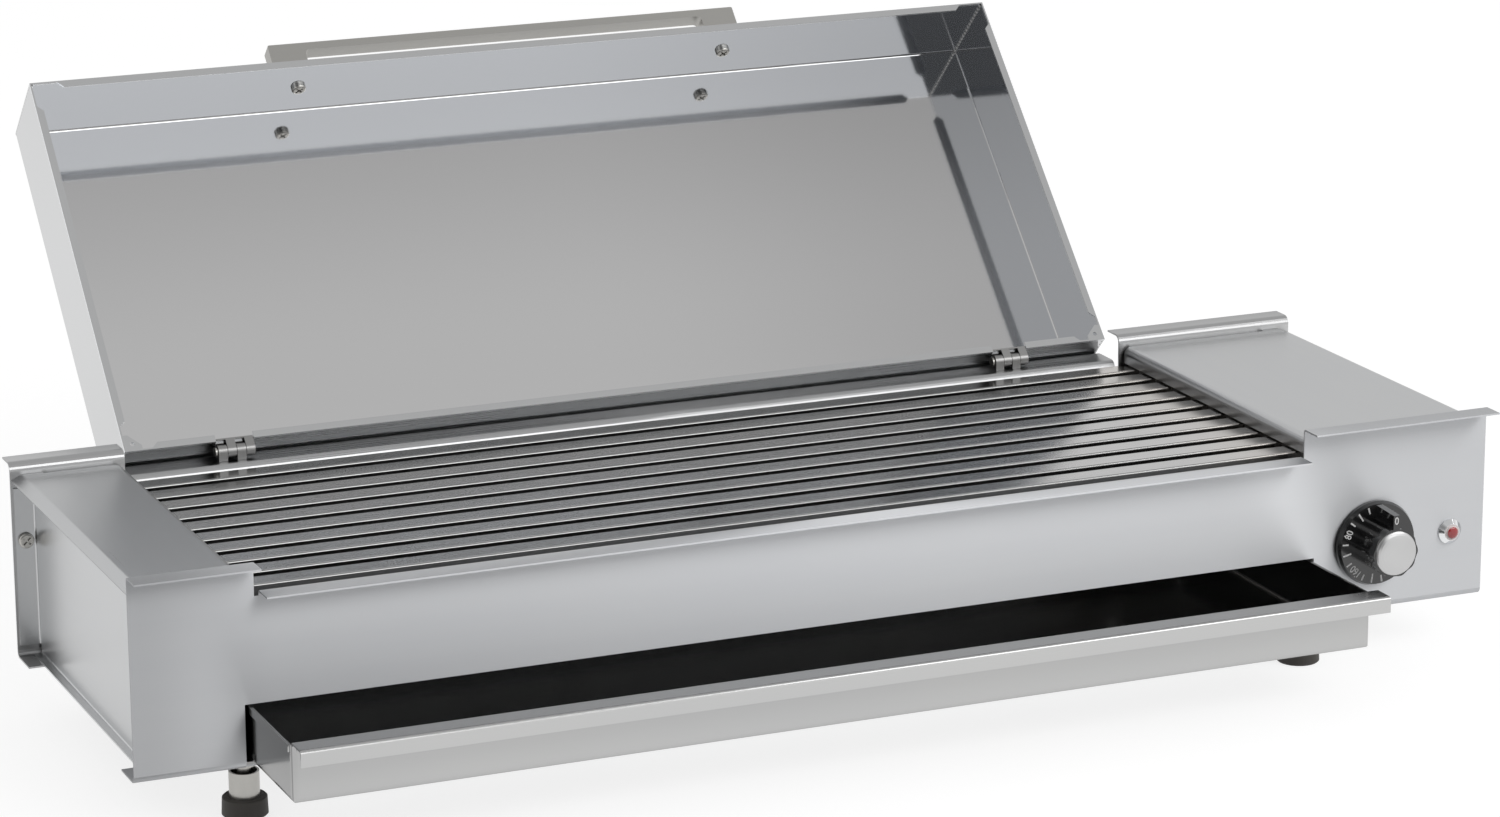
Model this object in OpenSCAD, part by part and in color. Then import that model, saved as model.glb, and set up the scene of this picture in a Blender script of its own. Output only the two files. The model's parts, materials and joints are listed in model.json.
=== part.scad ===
// Electric table grill with a row of heated bars, a hinged lid and a sliding drip tray.
// X runs along the front from left to right, Y to the back and Z up.
// Sheet parts are sections bent along a path. The body is drawn with its front face at
// Y = 0 and its underside at Z = 0, and placed() then stands it on its feet.
// The lid is drawn closed and turned open onto its stop; the tray is drawn pulled out.

/* [Body] */
// Width over the ends of the front panel
body_w = 840; // [800:1:900]
// Height of the end zones above the underside
body_h = 117; // [114:0.5:135]
// Rise of the end zones above the middle zone and the rear rail
zone_rise = 16.2; // [14:0.2:24]
// Width of the raised zone at the left end
left_zone_w = 70.5; // [60:0.5:90]
// Width of the raised zone at the right end
right_zone_w = 124; // [110:0.5:150]
// Thickness of the body sheet
sheet = 1; // [0.8:0.1:1.2]
// Inner radius of a sharp bend
bend_r = 1; // [0.5:0.1:1.5]
// Inner radius of the soft bends along the rear panel's top
soft_bend_r = 4; // [2:0.5:5]
// Depth of the front panel's top flange
front_flange = 15; // [12:0.5:20]
// Depth of the rear panel's top flange at its ends
rear_flange = 15; // [10:0.5:20]
// Depth of the bottom flanges that carry the feet
foot_flange = 25; // [20:0.5:30]
// Inner radius of the bottom flanges' bends
foot_bend_r = 3; // [1:0.5:4]
// Distance from a body end to the side panel
end_recess = 13.5; // [10:0.5:18]
// Thickness of the two bar carriers
carrier_t = 1.5; // [1.2:0.1:2]

/* [Covers] */
// Distance from the top of an end zone down to its cover
cover_sink = 7.1; // [5:0.1:9]
// Width of the sloping lip at a cover's outer edge
cover_lip = 6.5; // [4:0.5:9]
// Fall of the sloping lip
cover_lip_fall = 3; // [1:0.5:4]
// Depth of the skirt on the grill side
cover_skirt = 10.4; // [6:0.2:11]
// Inner radius of the skirt's bend
cover_bend_r = 4; // [2:0.5:5]

/* [Heating bars] */
// Number of bars, an even number because each hairpin heats two
bar_count = 10; // [6:2:10]
// Width of a bar
bar_w = 14.5; // [14:0.5:18]
// Height of a bar
bar_h = 9.6; // [9:0.1:11]
// Wall of a bar
bar_wall = 0.8; // [0.6:0.1:1]
// Outer radius of a bar's top corners
bar_corner_r = 1.2; // [1.2:0.1:3.5]
// Distance between neighbouring bars' centres
bar_pitch = 22.9; // [21:0.1:23]
// Gap between the rear panel and the first bar
bar_rear_gap = 2.5; // [2:0.1:6]
// Gap between the front panel and the last bar
bar_front_gap = 16.4; // [13:0.1:40]
// Distance from the middle zone's top down to the bars' tops
bar_sink = 2.3; // [1:0.1:4]
// Radius of a heater's sheath
heater_r = 3.25; // [2.5:0.05:3.4]

/* [Drip tray] */
// Left end of the tray's window in the front panel
window_x = 63.2; // [60:0.2:66]
// Distance from the window's right end to the body's end
window_end = 115.6; // [112:0.2:119]
// Height of the window's top edge
window_h = 36.8; // [30:0.2:45]
// How far the tray stands pulled out
tray_out = 72.4; // [40:0.2:120]
// How much shorter the tray is than the body is deep
tray_short = 9.5; // [8.5:0.5:60]
// Depth of the lip along the tray's front
tray_lip = 15; // [10:0.5:20]
// Height of the lip's turned-down edge
tray_lip_fall = 9.4; // [6:0.2:12]
// How far the lip sits to the right of the tray's middle
tray_lip_shift = 2.3; // [0:0.1:4]
// Radius of the tray's rounded corners and bottom edges
tray_corner_r = 3.5; // [2:0.5:6]

/* [Lid] */
// How far the closed lid reaches in front of the body
lid_over = 11.45; // [7.5:0.05:15.5]
// Height of the lid's walls
lid_h = 56.4; // [50:0.2:70]
// Gap between the lid and the raised zones beside it
lid_side_gap = 1.75; // [1:0.25:3]
// Width of the lips along the lid's rim
rim_lip = 3.5; // [2:0.5:5]
// Gap between the closed lid and the body's flanges
rim_gap = 0.6; // [0.4:0.1:1]
// Angle from the closed lid to the lid leaning on its stop
lid_open = 134.4; // [120:0.2:140]

/* [Hinges] */
// Distance from each end of the lid to the middle of its hinge
hinge_inset = 67; // [40:1:170]
// Outer radius of a knuckle
knuckle_r = 4.15; // [3.6:0.05:4.3]
// Width of a knuckle
knuckle_w = 5.4; // [4:0.1:7]
// Radius of a hinge pin
pin_r = 2; // [1.5:0.1:2.3]
// Distance from the rear panel's back to the hinge line
hinge_back = 11.5; // [10:0.5:14]
// Height of the knuckles above the rail
knuckle_lift = 1.05; // [0.6:0.05:2]
// Thickness of a hinge leaf
leaf_t = 1; // [0.8:0.1:1]

/* [Handle] */
// Length of the handle
handle_l = 316; // [300:1:340]
// Distance between the handle's two screws
handle_pitch = 288; // [270:1:292]
// How far the handle stands out from the lid
handle_reach = 28.6; // [24:0.2:36]
// Thickness of the handle's grip bar
grip_t = 5.2; // [4:0.2:8]
// Width of the handle's section
handle_w = 10; // [8:0.5:14]
// Length of each of the handle's feet
handle_foot = 23.4; // [20:0.2:26]
// Height of the handle above the lid's rim
handle_z = 29.5; // [20:0.5:35]

/* [Feet] */
// Height of the body's underside above the table
foot_h = 30; // [26:0.5:40]
// Radius of a rubber foot
foot_r = 12.5; // [11:0.5:14]
// Height of a rubber foot
rubber_h = 11; // [9:0.5:14]
// Outer radius of a foot's steel sleeve
sleeve_r = 8.5; // [7.5:0.1:9]
// Gap between the underside and the sleeve
sleeve_gap = 4.7; // [3:0.1:6]
// Distance from the ends of the tray's window in to the feet
foot_inset = 2; // [0:0.5:4]

/* [Controls] */
// Distance from the body's right end to the knob's axis
knob_end = 75.3; // [66:0.1:80]
// Height of the knob and the pilot lamp
control_z = 42.3; // [36:0.1:48]
// Radius of the knob's dial
dial_r = 26; // [24:0.5:28]
// Thickness of the dial
dial_t = 4.6; // [3:0.1:6]
// Radius of the knob's hub between its flutes' crests
hub_r = 15; // [13:0.1:17]
// Distance from the front panel to the hub's front end
hub_y = 26.4; // [22:0.1:30]
// Radius of the thermostat's shaft
shaft_r = 3; // [2:0.5:4]
// Radius of the silver cap
cap_r = 13.6; // [12:0.1:14]
// Distance from the body's right end to the pilot lamp
pilot_end = 22.9; // [20:0.1:26]
// Radius of the pilot lamp's bezel
bezel_r = 7.7; // [6.5:0.1:9]
// Distance from the body's right end to the cable gland
gland_end = 50; // [40:0.5:60]
// Radius of the cable gland's bore
gland_bore_r = 4; // [3:0.1:5]

/* [Hidden] */
$fn = 40;
// Overrun of every cut
over = 1;
// Arc steps in a bend
bend_steps = 6;
// Clearance between pieces that are fitted together
fit = 0.3;
// Running clearance round a pin or a shaft
run_fit = 0.06;
// Clearance of a snug pin or shaft
snug_fit = 0.03;
// Clearance between pieces that move past each other
move_fit = 0.4;

// The bars and the gaps beside them set the depth from the front face to the rear panel's back
body_d = 2 * sheet + bar_front_gap + bar_rear_gap + bar_w + (bar_count - 1) * bar_pitch;

// Middle zone of the body
grill_h = body_h - zone_rise;
grill_x0 = left_zone_w;
grill_x1 = body_w - right_zone_w;
// Relief slot beside each raised zone
relief_w = 2.6;
relief_past = 1.4;
relief_h = sheet + bend_r + relief_past;
// The rear panel's raised zones end this far outside the front panel's
rear_zone_step = 2;
// Height at which flanges clear the bottom bends
foot_clear = sheet + foot_bend_r;
// Side panel: its tabs, its bottom flange and its shelf under the cover
side_tab = 12;
tab_gap = 3;
side_tab_z = foot_clear + tab_gap;
side_foot = 5;
shelf_w = 9;
shelf_z = body_h - cover_sink - sheet;
// Pan-head screws
screw_r = 2.5;
screw_head_r = 4.6;
screw_head_h = 2.7;
slot_w = 1.1;
slot_l_share = 0.62;
panel_screw_x = end_recess - side_tab / 2;
panel_screw_z = 70.5;
panel_screw_l = 8;
nut_r = 4.6;
nut_h = 3.5;

// Bar carriers stand just inside the tray's window
carrier_step = 1;
carrier_x0 = window_x + carrier_step;
carrier_x1 = body_w - window_end - carrier_step;
carrier_tab = 12;
carrier_ledge = 14;
ledge_top = sheet + carrier_t;

// Bars
bar_top = grill_h - bar_sink;
bar_z = bar_top - bar_h;
bar_foot_in = 0.2;
bar_foot_r = bar_wall + bar_foot_in;
bar_past = 7;
bar_x0 = carrier_x0 - carrier_t - bar_past;
bar_x1 = carrier_x1 + carrier_t + bar_past;
function bar_y(i) = body_d - sheet - bar_rear_gap - bar_w / 2 - i * bar_pitch;
heater_z = bar_z + bar_wall + heater_r + snug_fit;
heater_past = 4;
heater_bend_x = bar_x0 - heater_past;
terminal_r = 1.75;
terminal_l = 26;
bus_t = 1.5;
bus_h = 12;
bus_end = 7;
bus_gap = 6;
bus_pitch = 10;
bus_live_x = bar_x1 + heater_past + bus_gap;
bus_neutral_x = bus_live_x + bus_pitch;
bus_hole_r = 4.5;

// Covers
cover_z = body_h - cover_sink;
cover_mid_z = cover_z - sheet / 2;
cover_edge = 0.6;
cover_step = 2.6;
left_cover_x1 = carrier_x0 + cover_step;
right_cover_x0 = carrier_x1 - cover_step;
cover_y0 = sheet + fit;
cover_y1 = body_d - sheet - fit;
cover_hem = 7;
hem_inset = 22;

// Tray
tray_gap = 0.9;
tray_x0 = carrier_x0 + tray_gap;
tray_x1 = carrier_x1 - tray_gap;
tray_t = 1;
tray_hem = 4;
tray_sink = 1.1;
tray_z = ledge_top + move_fit;
tray_top = window_h - tray_sink;
tray_front = -tray_out;
tray_back = tray_front + body_d - tray_short;
lip_top = window_h + tray_t;
lip_over = 1;

// Lid, drawn closed
pivot_y = body_d + hinge_back;
pivot_z = grill_h + knuckle_r + knuckle_lift;
wall_off = knuckle_r + fit;
lid_x0 = grill_x0 + lid_side_gap;
lid_x1 = grill_x1 - lid_side_gap;
lid_mid = (lid_x0 + lid_x1) / 2;
lid_y1 = pivot_y - wall_off;
lid_y0 = -lid_over;
lid_z0 = grill_h + rim_gap;
lid_z1 = lid_z0 + lid_h;
lip_stop = 17;
gusset = 11;
gusset_hole_r = 1.3;
notch_h = 3;

// The rail's rear bend is the stop that the open lid's rear wall leans on
rail_bend_r = 6;
rail_outer_r = rail_bend_r + sheet;
rail_lip = 13;
lean = 180 - lid_open;
rail_drop = pivot_z - grill_h + rail_outer_r;
rail_back = pivot_y + rail_outer_r
    + (wall_off - fit - rail_outer_r + rail_drop * sin(lean)) / cos(lean);

// Hinges
knuckle_gap = 0.3;
knuckle_pitch = knuckle_w + knuckle_gap;
hinge_w = 4 * knuckle_w + 3 * knuckle_gap;
hinge_xs = [lid_x0 + hinge_inset, lid_x1 - hinge_inset];
leaf_past = 6;
leaf_h = 20;
pin_head_w = 0.9;
pin_head_r = pin_r + pin_head_w;
pin_head_h = 1.2;

// Handle
handle_screw_l = 14;
handle_screw_r = 2;
handle_mid_z = lid_z0 + handle_z;
grip_window_r = 3;
handle_edge_r = 1;

// Feet
foot_y = foot_flange / 2;
foot_xs = [window_x + foot_inset, body_w - window_end - foot_inset];
foot_ys = [foot_y, body_d - foot_y];
function foot_at(i) = [foot_xs[i % 2], foot_ys[floor(i / 2)]];
sleeve_wall = 1.2;
sleeve_floor = 3;
rubber_floor = 3;
rubber_flare = 0.4;
rubber_chamfer = 0.8;
stud_r = 4;
stud_collar_r = 6;
stud_collar_h = 2;

// Controls
knob_x = body_w - knob_end;
dial_gap = 0.8;
flute_count = 10;
flute_depth = 0.7;
nose_w = 4.2;
nose_root_share = 0.94;
nose_tip_share = 0.89;
cap_rim = 1;
cap_rise = 3.2;
shaft_gap = 1;
shaft_in = 20;
thermostat_r = 17;
thermostat_l = 24;
bracket_w = 28;
bracket_h = 56;
bracket_t = 1.5;
thermostat_back = sheet + bracket_t + thermostat_l;
blade = [6.3, 8, 0.8];
pilot_x = body_w - pilot_end;
bezel_h = 3.2;
bezel_edge = 0.8;
bezel_rim = 0.3;
lens_r = 4.9;
lens_proud = 0.2;
dome_r = 4;
dome_h = 1.8;
pilot_r = 6;
pilot_l = 24;
pilot_nut_r = 8;
bulb_r = 3;
bulb_l = 90;
bulb_past = 5;
bulb_drop = 4;
bulb_y = bar_y(bar_count - 2);
bulb_z = bar_z - bulb_r - bulb_drop;
capillary_r = 0.8;
capillary_bend_r = 6;
capillary_boss_r = 2.5;
capillary_boss_h = 2;
gland_x = body_w - gland_end;
gland_thread_r = 8;
gland_r = 9;
gland_round = 3;
gland_hex_r = 11;
gland_hex_h = 5;
gland_l = 20;
gland_nut_h = 5;

// Floor of the right-hand box and the terminal block on it
box_x0 = carrier_x1 + carrier_t + fit;
box_x1 = body_w - end_recess - sheet - fit;
vent_count = 6;
vent_w = 3;
vent_l = 60;
block = [52, 22, 18];
block_pole = 17;
block_screw_r = 2.2;

// Reach of the whole object to the front and back, and its middle
function opened(y, z) = [
    pivot_y + (y - pivot_y) * cos(lid_open) + (z - pivot_z) * sin(lid_open),
    pivot_z - (y - pivot_y) * sin(lid_open) + (z - pivot_z) * cos(lid_open)];
front_reach = tray_front - tray_lip;
handle_tip = opened(lid_y0 - handle_reach, handle_mid_z + handle_w / 2);
mid_y = (front_reach + handle_tip[0]) / 2;

// Plane vectors
function unit(v) = v / norm(v);
function left_of(v) = [-v[1], v[0]];
function turned(v, a) = [v[0] * cos(a) - v[1] * sin(a), v[0] * sin(a) + v[1] * cos(a)];
function turn_of(a, b) = atan2(a[0] * b[1] - a[1] * b[0], a * b);
function arc(c, r, a0, a1, n = bend_steps) =
    [for (k = [0:n]) c + r * [cos(a0 + (a1 - a0) * k / n), sin(a0 + (a1 - a0) * k / n)]];

// One side of a bent sheet: the path runs along the middle of the sheet, and each of its
// inner corners becomes an arc with the inner radius given for it
function corner_arc(a, b, c, r, t, side) =
    let (d1 = unit(b - a), turn = turn_of(d1, unit(c - b)), s = sign(turn), rm = r + t / 2)
    let (mid = b - d1 * rm * tan(abs(turn) / 2) + left_of(d1) * s * rm)
    [for (k = [0:bend_steps])
        mid - turned(left_of(d1) * s, turn * k / bend_steps) * (rm - side * s * t / 2)];
function sheet_side(path, radii, t, side) = let (n = len(path) - 1) concat(
    [path[0] + left_of(unit(path[1] - path[0])) * side * t / 2],
    [for (i = [1:1:n - 1])
        each corner_arc(path[i - 1], path[i], path[i + 1], radii[i - 1], t, side)],
    [path[n] + left_of(unit(path[n] - path[n - 1])) * side * t / 2]);
function reversed(v) = [for (i = [len(v) - 1:-1:0]) v[i]];

module bent(path, radii, t = sheet)
    polygon(concat(sheet_side(path, radii, t, 1), reversed(sheet_side(path, radii, t, -1))));

// Rectangle with its own radius at each corner, from the lower left anticlockwise
function corner(c, r, a) = r > 0 ? arc(c, r, a, a + 90) : [c];
module soft_rect(x0, y0, x1, y1, r)
    polygon(concat(
        corner([x0 + r[0], y0 + r[0]], r[0], 180), corner([x1 - r[1], y0 + r[1]], r[1], 270),
        corner([x1 - r[2], y1 - r[2]], r[2], 0), corner([x0 + r[3], y1 - r[3]], r[3], 90)));

// Extrusions of a YZ section along X, an XZ section along Y and an XY section along Z
module along_x(x0, x1) translate([x0, 0, 0]) rotate([90, 0, 90]) linear_extrude(x1 - x0) children();
module along_y(y0, y1) translate([0, y1, 0]) rotate([90, 0, 0]) linear_extrude(y1 - y0) children();
module along_z(z0, z1) translate([0, 0, z0]) linear_extrude(z1 - z0) children();
module box(a, b) translate(a) cube(b - a);
// Round bars and bores along X, Y or Z
module rod_x(x0, x1, y, z, r) translate([x0, y, z]) rotate([0, 90, 0]) cylinder(r = r, h = x1 - x0);
module rod_y(y0, y1, x, z, r) translate([x, y1, z]) rotate([90, 0, 0]) cylinder(r = r, h = y1 - y0);

module placed() translate([-body_w / 2, -mid_y, foot_h]) children();
module on_open_lid()
    placed() translate([0, pivot_y, pivot_z]) rotate([-lid_open, 0, 0])
        translate([0, -pivot_y, -pivot_z]) children();
module flipped() translate([body_w, 0, 0]) mirror([1, 0, 0]) children();

// Pan-head screw along Y: its head's seat is at Y = 0 and its shank runs to positive Y
module pan_screw(r, l)
    rotate([90, 0, 0]) {
        translate([0, 0, -l]) cylinder(r = r, h = l);
        difference() {
            rotate_extrude() polygon(concat([[0, 0]],
                [[screw_head_r, 0]],
                arc([screw_head_r - screw_head_h / 2, screw_head_h / 2], screw_head_h / 2, 0, 90),
                [[0, screw_head_h]]));
            for (a = [45, 135]) rotate(a)
                translate([-screw_head_r * slot_l_share, -slot_w / 2, screw_head_h / 2])
                    cube([2 * screw_head_r * slot_l_share, slot_w, screw_head_h]);
        }
    }

// Body sheets

module front_zone(x0, x1, top)
    along_x(x0, x1) bent([[-front_flange, top - sheet / 2], [sheet / 2, top - sheet / 2],
        [sheet / 2, sheet / 2], [foot_flange, sheet / 2]], [bend_r, foot_bend_r]);

module front_panel() color("silver") placed() difference() {
    union() {
        front_zone(0, grill_x0, body_h);
        front_zone(grill_x0, grill_x1, grill_h);
        front_zone(grill_x1, body_w, body_h);
    }
    for (x = [grill_x0, grill_x1 - relief_w])
        box([x, -front_flange - over, grill_h - relief_h],
            [x + relief_w, sheet + over, grill_h + over]);
    box([window_x, -over, -over], [body_w - window_end, foot_clear, window_h]);
    rod_y(-over, sheet + over, knob_x, control_z, shaft_r + shaft_gap);
    rod_y(-over, sheet + over, pilot_x, control_z, pilot_r);
}

module rear_zone(x0, x1)
    along_x(x0, x1) bent([[body_d + rear_flange, body_h - sheet / 2],
        [body_d - sheet / 2, body_h - sheet / 2], [body_d - sheet / 2, sheet / 2],
        [body_d - foot_flange, sheet / 2]], [soft_bend_r, foot_bend_r]);

module rear_rail(x0, x1)
    along_x(x0, x1) bent([[rail_back - sheet / 2, grill_h - rail_lip],
        [rail_back - sheet / 2, grill_h - sheet / 2], [body_d - sheet / 2, grill_h - sheet / 2],
        [body_d - sheet / 2, sheet / 2], [body_d - foot_flange, sheet / 2]],
        [rail_bend_r, soft_bend_r, foot_bend_r]);

module rear_panel() color("silver") placed() {
    x0 = grill_x0 - rear_zone_step;
    x1 = grill_x1 + rear_zone_step;
    difference() {
        union() {
            rear_zone(0, x0);
            rear_rail(x0, x1);
            rear_zone(x1, body_w);
        }
        for (x = [x0, x1 - relief_w])
            box([x, body_d - sheet - over, grill_h - rail_lip - over],
                [x + relief_w, rail_back + over, grill_h + over]);
        for (x = hinge_xs, k = [0, 2])
            box([hinge_edge(x, k) - move_fit, pivot_y - knuckle_r - move_fit, grill_h - sheet - over],
                [hinge_edge(x, k) + knuckle_w + move_fit,
                pivot_y - knuckle_r + leaf_t + move_fit, grill_h + over]);
        for (x = [panel_screw_x, body_w - panel_screw_x])
            rod_y(body_d - sheet - over, body_d + over, x, panel_screw_z, screw_r);
        rod_y(body_d - sheet - over, body_d + over, gland_x, control_z, gland_thread_r + fit);
    }
}

module left_side_panel() color("lightgray") placed() side_panel();
module right_side_panel() color("lightgray") placed() flipped() side_panel();
module side_panel() {
    mid = end_recess + sheet / 2;
    y0 = sheet * 1.5;
    y1 = body_d - sheet * 1.5;
    difference() {
        union() {
            along_z(side_tab_z, shelf_z - cover_hem)
                bent([[end_recess - side_tab, y0], [mid, y0], [mid, y1],
                    [end_recess - side_tab, y1]], [bend_r, bend_r]);
            along_y(foot_clear, body_d - foot_clear)
                bent([[end_recess - side_foot, sheet * 1.5], [mid, sheet * 1.5],
                    [mid, shelf_z - sheet / 2], [mid + shelf_w, shelf_z - sheet / 2]],
                    [bend_r, bend_r]);
        }
        rod_y(y1 - over, y1 + over, panel_screw_x, panel_screw_z, screw_r);
    }
}

// A cover: a sloping lip at its outer edge, a skirt beside the bars, and hems front and rear
// that start behind a relief slit and stop short of the skirt's bend
module cover(x_in) {
    corner_d = bend_r + sheet;
    difference() {
        along_y(cover_y0, cover_y1)
            bent([[cover_edge, cover_mid_z - cover_lip_fall], [cover_edge + cover_lip, cover_mid_z],
                [x_in - sheet / 2, cover_mid_z], [x_in - sheet / 2, cover_z - cover_skirt]],
                [cover_bend_r, cover_bend_r]);
        for (y = [cover_y0 - over, cover_y1 - corner_d])
            box([hem_inset - relief_w, y, cover_z - cover_skirt - over],
                [x_in + over, y + corner_d + over, cover_z + over]);
    }
    along_x(hem_inset, x_in - sheet - cover_bend_r)
        bent([[cover_y0 + sheet / 2, cover_z - cover_hem], [cover_y0 + sheet / 2, cover_mid_z],
            [cover_y1 - sheet / 2, cover_mid_z], [cover_y1 - sheet / 2, cover_z - cover_hem]],
            [bend_r, bend_r]);
}
module left_cover() color("gainsboro") placed() cover(left_cover_x1);
module right_cover() color("gainsboro") placed() flipped() cover(body_w - right_cover_x0);

// A bar carrier: its bottom flange is the tray's ledge, its slots carry the bars
module bar_carrier(x_face) {
    mid = x_face - carrier_t / 2;
    y0 = sheet + carrier_t / 2;
    y1 = body_d - sheet - carrier_t / 2;
    difference() {
        union() {
            along_z(side_tab_z, bar_z - over)
                bent([[mid - carrier_tab, y0], [mid, y0], [mid, y1], [mid - carrier_tab, y1]],
                    [bend_r, bend_r], carrier_t);
            along_y(foot_clear, body_d - foot_clear)
                bent([[x_face + carrier_ledge, sheet + carrier_t / 2], [mid, sheet + carrier_t / 2],
                    [mid, shelf_z - carrier_t / 2], [mid - shelf_w, shelf_z - carrier_t / 2]],
                    [bend_r, bend_r], carrier_t);
        }
        for (i = [0:bar_count - 1])
            box([x_face - carrier_t - over, bar_y(i) - bar_w / 2 - fit, bar_z],
                [x_face + over, bar_y(i) + bar_w / 2 + fit, bar_top + fit]);
    }
}
module left_bar_carrier() color("silver") placed() bar_carrier(carrier_x0);
module right_bar_carrier() color("silver") placed() difference() {
    flipped() bar_carrier(body_w - carrier_x1);
    rod_x(carrier_x1 - over, carrier_x1 + carrier_t + over, bulb_y, bulb_z, bulb_r + fit);
}

module box_floor() color("darkgray") placed() difference() {
    box([box_x0, foot_clear, sheet], [box_x1, body_d - foot_clear, 2 * sheet]);
    for (i = [0:vent_count - 1])
        box([box_x0 + (box_x1 - box_x0) / 2 - vent_w * (vent_count - 1 - 2 * i) - vent_w / 2,
            body_d / 2 - vent_l / 2, 0],
            [box_x0 + (box_x1 - box_x0) / 2 - vent_w * (vent_count - 1 - 2 * i) + vent_w / 2,
            body_d / 2 + vent_l / 2, 2 * sheet + over]);
}

// Heating bars and what heats them

module grill_bar(i) color("rosybrown") placed()
    along_x(bar_x0, bar_x1) difference() {
        translate([bar_y(i) - bar_w / 2, bar_z])
            soft_rect(0, 0, bar_w, bar_h, [bar_foot_r, bar_foot_r, bar_corner_r, bar_corner_r]);
        translate([bar_y(i) - bar_w / 2, bar_z])
            soft_rect(bar_wall, bar_wall, bar_w - bar_wall, bar_h - bar_wall,
                [bar_foot_r - bar_wall, bar_foot_r - bar_wall,
                bar_corner_r - bar_wall, bar_corner_r - bar_wall]);
    }

// A hairpin heater: two legs joined by a half ring, each ending in a terminal pin
module heater(j) color("dimgray") placed() {
    mid = (bar_y(2 * j) + bar_y(2 * j + 1)) / 2;
    translate([heater_bend_x, mid, heater_z]) rotate([0, 0, 90])
        rotate_extrude(angle = 180) translate([bar_pitch / 2, 0]) circle(heater_r);
    for (i = [2 * j, 2 * j + 1]) {
        rod_x(heater_bend_x, bar_x1 + heater_past, bar_y(i), heater_z, heater_r);
        rod_x(bar_x1 + heater_past, bar_x1 + heater_past + terminal_l, bar_y(i), heater_z, terminal_r);
    }
}

// A bus bar touches every second terminal pin and stands clear of the others
module bus_bar(x, first) placed() difference() {
    box([x, bar_y(bar_count - 1) - bus_end, heater_z - bus_h / 2],
        [x + bus_t, bar_y(0) + bus_end, heater_z + bus_h / 2]);
    for (i = [0:bar_count - 1])
        rod_x(x - over, x + bus_t + over, bar_y(i), heater_z,
            i % 2 == first ? terminal_r + snug_fit : bus_hole_r);
}
module bus_bar_live() color("goldenrod") bus_bar(bus_live_x, 0);
module bus_bar_neutral() color("goldenrod") bus_bar(bus_neutral_x, 1);

module terminal_block() color("ivory") placed()
    translate([(box_x0 + box_x1 - block[0]) / 2, body_d - foot_clear - foot_flange - block[1], 2 * sheet])
        difference() {
            cube(block);
            for (k = [-1:1]) {
                translate([block[0] / 2 + k * block_pole, block[1] / 2, block[2] / 2])
                    cylinder(r = block_screw_r, h = block[2]);
                translate([block[0] / 2 + k * block_pole, -over, block[2] / 3])
                    rotate([-90, 0, 0]) cylinder(r = block_screw_r, h = block[1] + 2 * over);
            }
        }

// Controls

module thermostat_body() color("dimgray") placed() difference() {
    union() {
        box([knob_x - bracket_w / 2, sheet, control_z - bracket_h / 2],
            [knob_x + bracket_w / 2, sheet + bracket_t, control_z + bracket_h / 2]);
        rod_y(sheet + bracket_t, thermostat_back, knob_x, control_z, thermostat_r);
        rod_y(thermostat_back, thermostat_back + capillary_boss_h, knob_x, control_z, capillary_boss_r);
        for (s = [-1, 1], k = [-1, 1])
            translate([knob_x + s * thermostat_r / 2 - blade[0] / 2, thermostat_back,
                control_z + k * thermostat_r / 2])
                cube([blade[0], blade[1], blade[2]]);
    }
    rod_y(sheet - over, shaft_in + over, knob_x, control_z, shaft_r + run_fit);
}

// Sensor bulb under the bars, held by its hole in the carrier, and its capillary, which
// drops behind the thermostat and turns forward onto its boss
module capillary_turn(a) rotate(a) rotate_extrude(angle = 90)
    translate([capillary_bend_r, 0]) circle(capillary_r);
module thermostat_bulb() color("peru") placed() {
    r = capillary_bend_r;
    x1 = carrier_x1 + carrier_t + bulb_past;
    rod_x(x1 - bulb_l, x1, bulb_y, bulb_z, bulb_r);
    rod_x(x1, knob_x - r, bulb_y, bulb_z, capillary_r);
    translate([knob_x - r, bulb_y, bulb_z - r]) rotate([90, 0, 0]) capillary_turn(0);
    translate([knob_x, bulb_y, control_z + r]) cylinder(r = capillary_r, h = bulb_z - control_z - 2 * r);
    translate([knob_x, bulb_y - r, control_z + r]) rotate([90, 0, 90]) capillary_turn(270);
    rod_y(thermostat_back + capillary_boss_h, bulb_y - r, knob_x, control_z, capillary_r);
}

module pilot_bezel() color("gainsboro") placed() translate([pilot_x, 0, control_z]) rotate([90, 0, 0])
    rotate_extrude() polygon([[lens_r + snug_fit, 0], [bezel_r, 0], [bezel_r, bezel_edge],
        [lens_r + bezel_rim, bezel_h], [lens_r + snug_fit, bezel_h]]);

// The lens is a dome inside a narrow ring
module pilot_lens() color("red") placed() translate([pilot_x, 0, control_z]) rotate([90, 0, 0])
    rotate_extrude() polygon(concat([[0, 0], [lens_r, 0], [lens_r, bezel_h + lens_proud]],
        [for (k = [0:6]) [dome_r * cos(k * 15), bezel_h + lens_proud + dome_h * sin(k * 15)]]));

module pilot_body() color("dimgray") placed() {
    rod_y(0, pilot_l, pilot_x, control_z, pilot_r - snug_fit);
    translate([pilot_x, sheet + nut_h, control_z]) rotate([90, 0, 0])
        cylinder(r = pilot_nut_r, h = nut_h, $fn = 6);
}

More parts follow.
